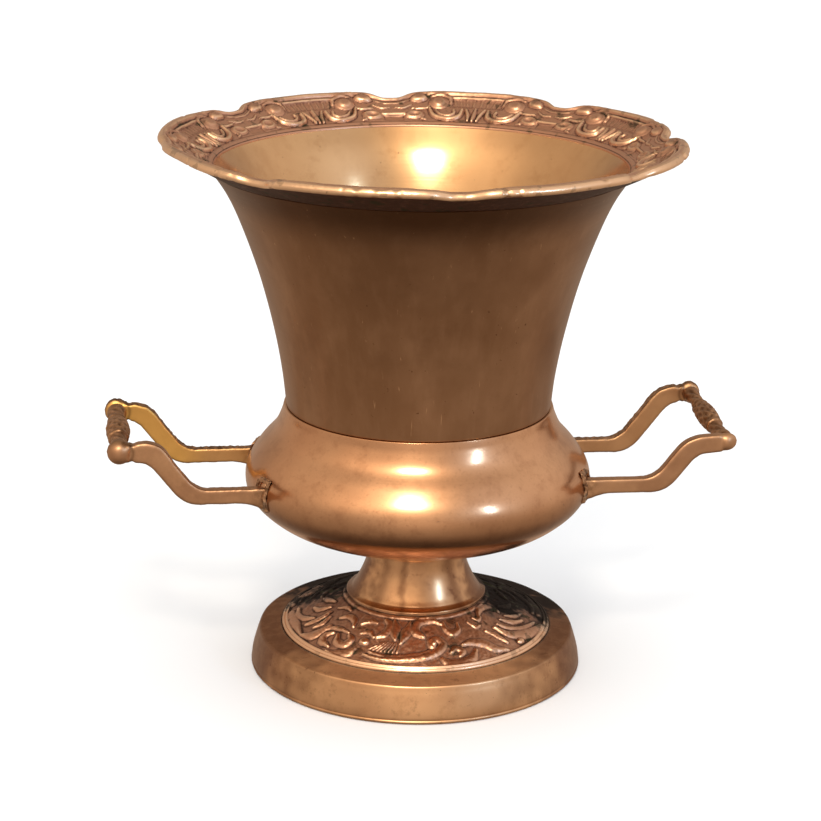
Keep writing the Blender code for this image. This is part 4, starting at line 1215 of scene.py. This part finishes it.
# What the metal mirrors: the room's colour from straight down (0) to straight up (1), and glows added to it
ROOM = ((0.0, (0.14, 0.10, 0.07)), (0.07, (0.26, 0.19, 0.14)), (0.23, (0.50, 0.38, 0.285)),
        (0.46, (0.50, 0.38, 0.29)), (0.62, (0.42, 0.33, 0.26)), (0.80, (0.42, 0.34, 0.27)),
        (1.0, (0.46, 0.37, 0.29)))

# Each glow's azimuth and elevation from the camera's side, sharpness and colour
GLOWS = ((-8, 48, 18.0, (2.2, 1.75, 1.25)), (-48, 36, 14.0, (0.75, 0.56, 0.40)),
         (-100, 31, 5.0, (0.30, 0.22, 0.16)), (52, 30, 12.0, (0.50, 0.52, 0.58)),
         (105, 28, 5.0, (0.42, 0.38, 0.36)), (0, 10, 9.0, (0.42, 0.33, 0.26)),
         (-5, 75, 10.0, (0.25, 0.20, 0.16)))


def make_floor():
    bpy.ops.object.select_all(action="DESELECT")
    bpy.ops.mesh.primitive_plane_add(size=14.0, location=(0.0, 0.0, -0.2 * MM))
    floor = bpy.context.active_object
    floor.name = "floor"
    f = Finish("pale_floor")
    floor.data.materials.append(f.coat((0.86, 0.86, 0.86), 0.95, metallic=0.0))
    floor.visible_glossy = False


def soft_light(name, azimuth, elevation, distance, size, power, colour):
    data = bpy.data.lights.new(name, "AREA")
    data.shape = "RECTANGLE"
    data.size, data.size_y = size
    data.energy = power
    data.color = colour
    lamp = bpy.data.objects.new(name, data)
    bpy.context.scene.collection.objects.link(lamp)
    centre = Vector((0.0, 0.0, 130 * MM))
    lamp.location = around(radians(azimuth), radians(elevation), distance, centre)
    lamp.rotation_euler = (lamp.location - centre).to_track_quat("Z", "Y").to_euler()


def make_world():
    """White to the camera and the floor. What the metal mirrors is a dim warm room with soft glows."""
    world = bpy.data.worlds.new("studio")
    world.use_nodes = True
    bpy.context.scene.world = world
    s = Shading(world.node_tree)
    s.tree.nodes.clear()
    facing = s.node("ShaderNodeTexCoord", {}, {}, "Generated")
    height = s.node("ShaderNodeSeparateXYZ", {}, {"Vector": facing}, "Z")
    ramp = s.tree.nodes.new("ShaderNodeValToRGB")
    while len(ramp.color_ramp.elements) < len(ROOM):
        ramp.color_ramp.elements.new(0.5)
    for element, (position, colour) in zip(ramp.color_ramp.elements, ROOM):
        element.position = position
        element.color = (*colour, 1.0)
    s.feed(ramp.inputs["Fac"], 0.5 + 0.5 * height)
    room = Value(s, ramp.outputs["Color"])
    for azimuth, elevation, sharpness, colour in GLOWS:
        toward = around(radians(azimuth), radians(elevation), 1.0)
        along = s.node("ShaderNodeVectorMath", {"operation": "DOT_PRODUCT"}, {0: facing, 1: toward},
                       "Value")
        room = s.mix(along.most(0.0) ** sharpness, room, colour, "ADD")
    mirrored = s.node("ShaderNodeBackground", {}, {"Color": room}, "Background")
    white = s.node("ShaderNodeBackground", {}, {"Color": (1.0, 1.0, 1.0)}, "Background")
    lighting = s.node("ShaderNodeBackground", {}, {"Color": (1.0, 1.0, 1.0), "Strength": 1.25},
                      "Background")
    glossy = s.node("ShaderNodeLightPath", {}, {}, "Is Glossy Ray")
    camera = s.node("ShaderNodeLightPath", {}, {}, "Is Camera Ray")
    seen = s.node("ShaderNodeMixShader", {}, {0: camera, 1: lighting, 2: white}, "Shader")
    chosen = s.node("ShaderNodeMixShader", {}, {0: glossy, 1: seen, 2: mirrored}, "Shader")
    output = s.tree.nodes.new("ShaderNodeOutputWorld")
    s.feed(output.inputs["Surface"], chosen)
    world.cycles.sampling_method = "NONE"


make_floor()
soft_light("warm_key", -5, 45, 1.5, (0.30, 0.24), 7.5, (1.0, 0.90, 0.76))
soft_light("cool_window", 49, 23, 1.6, (0.08, 0.36), 2.6, (0.40, 0.66, 1.0))
make_world()
bpy.context.scene.view_settings.view_transform = "Standard"

bpy.context.view_layer.update()
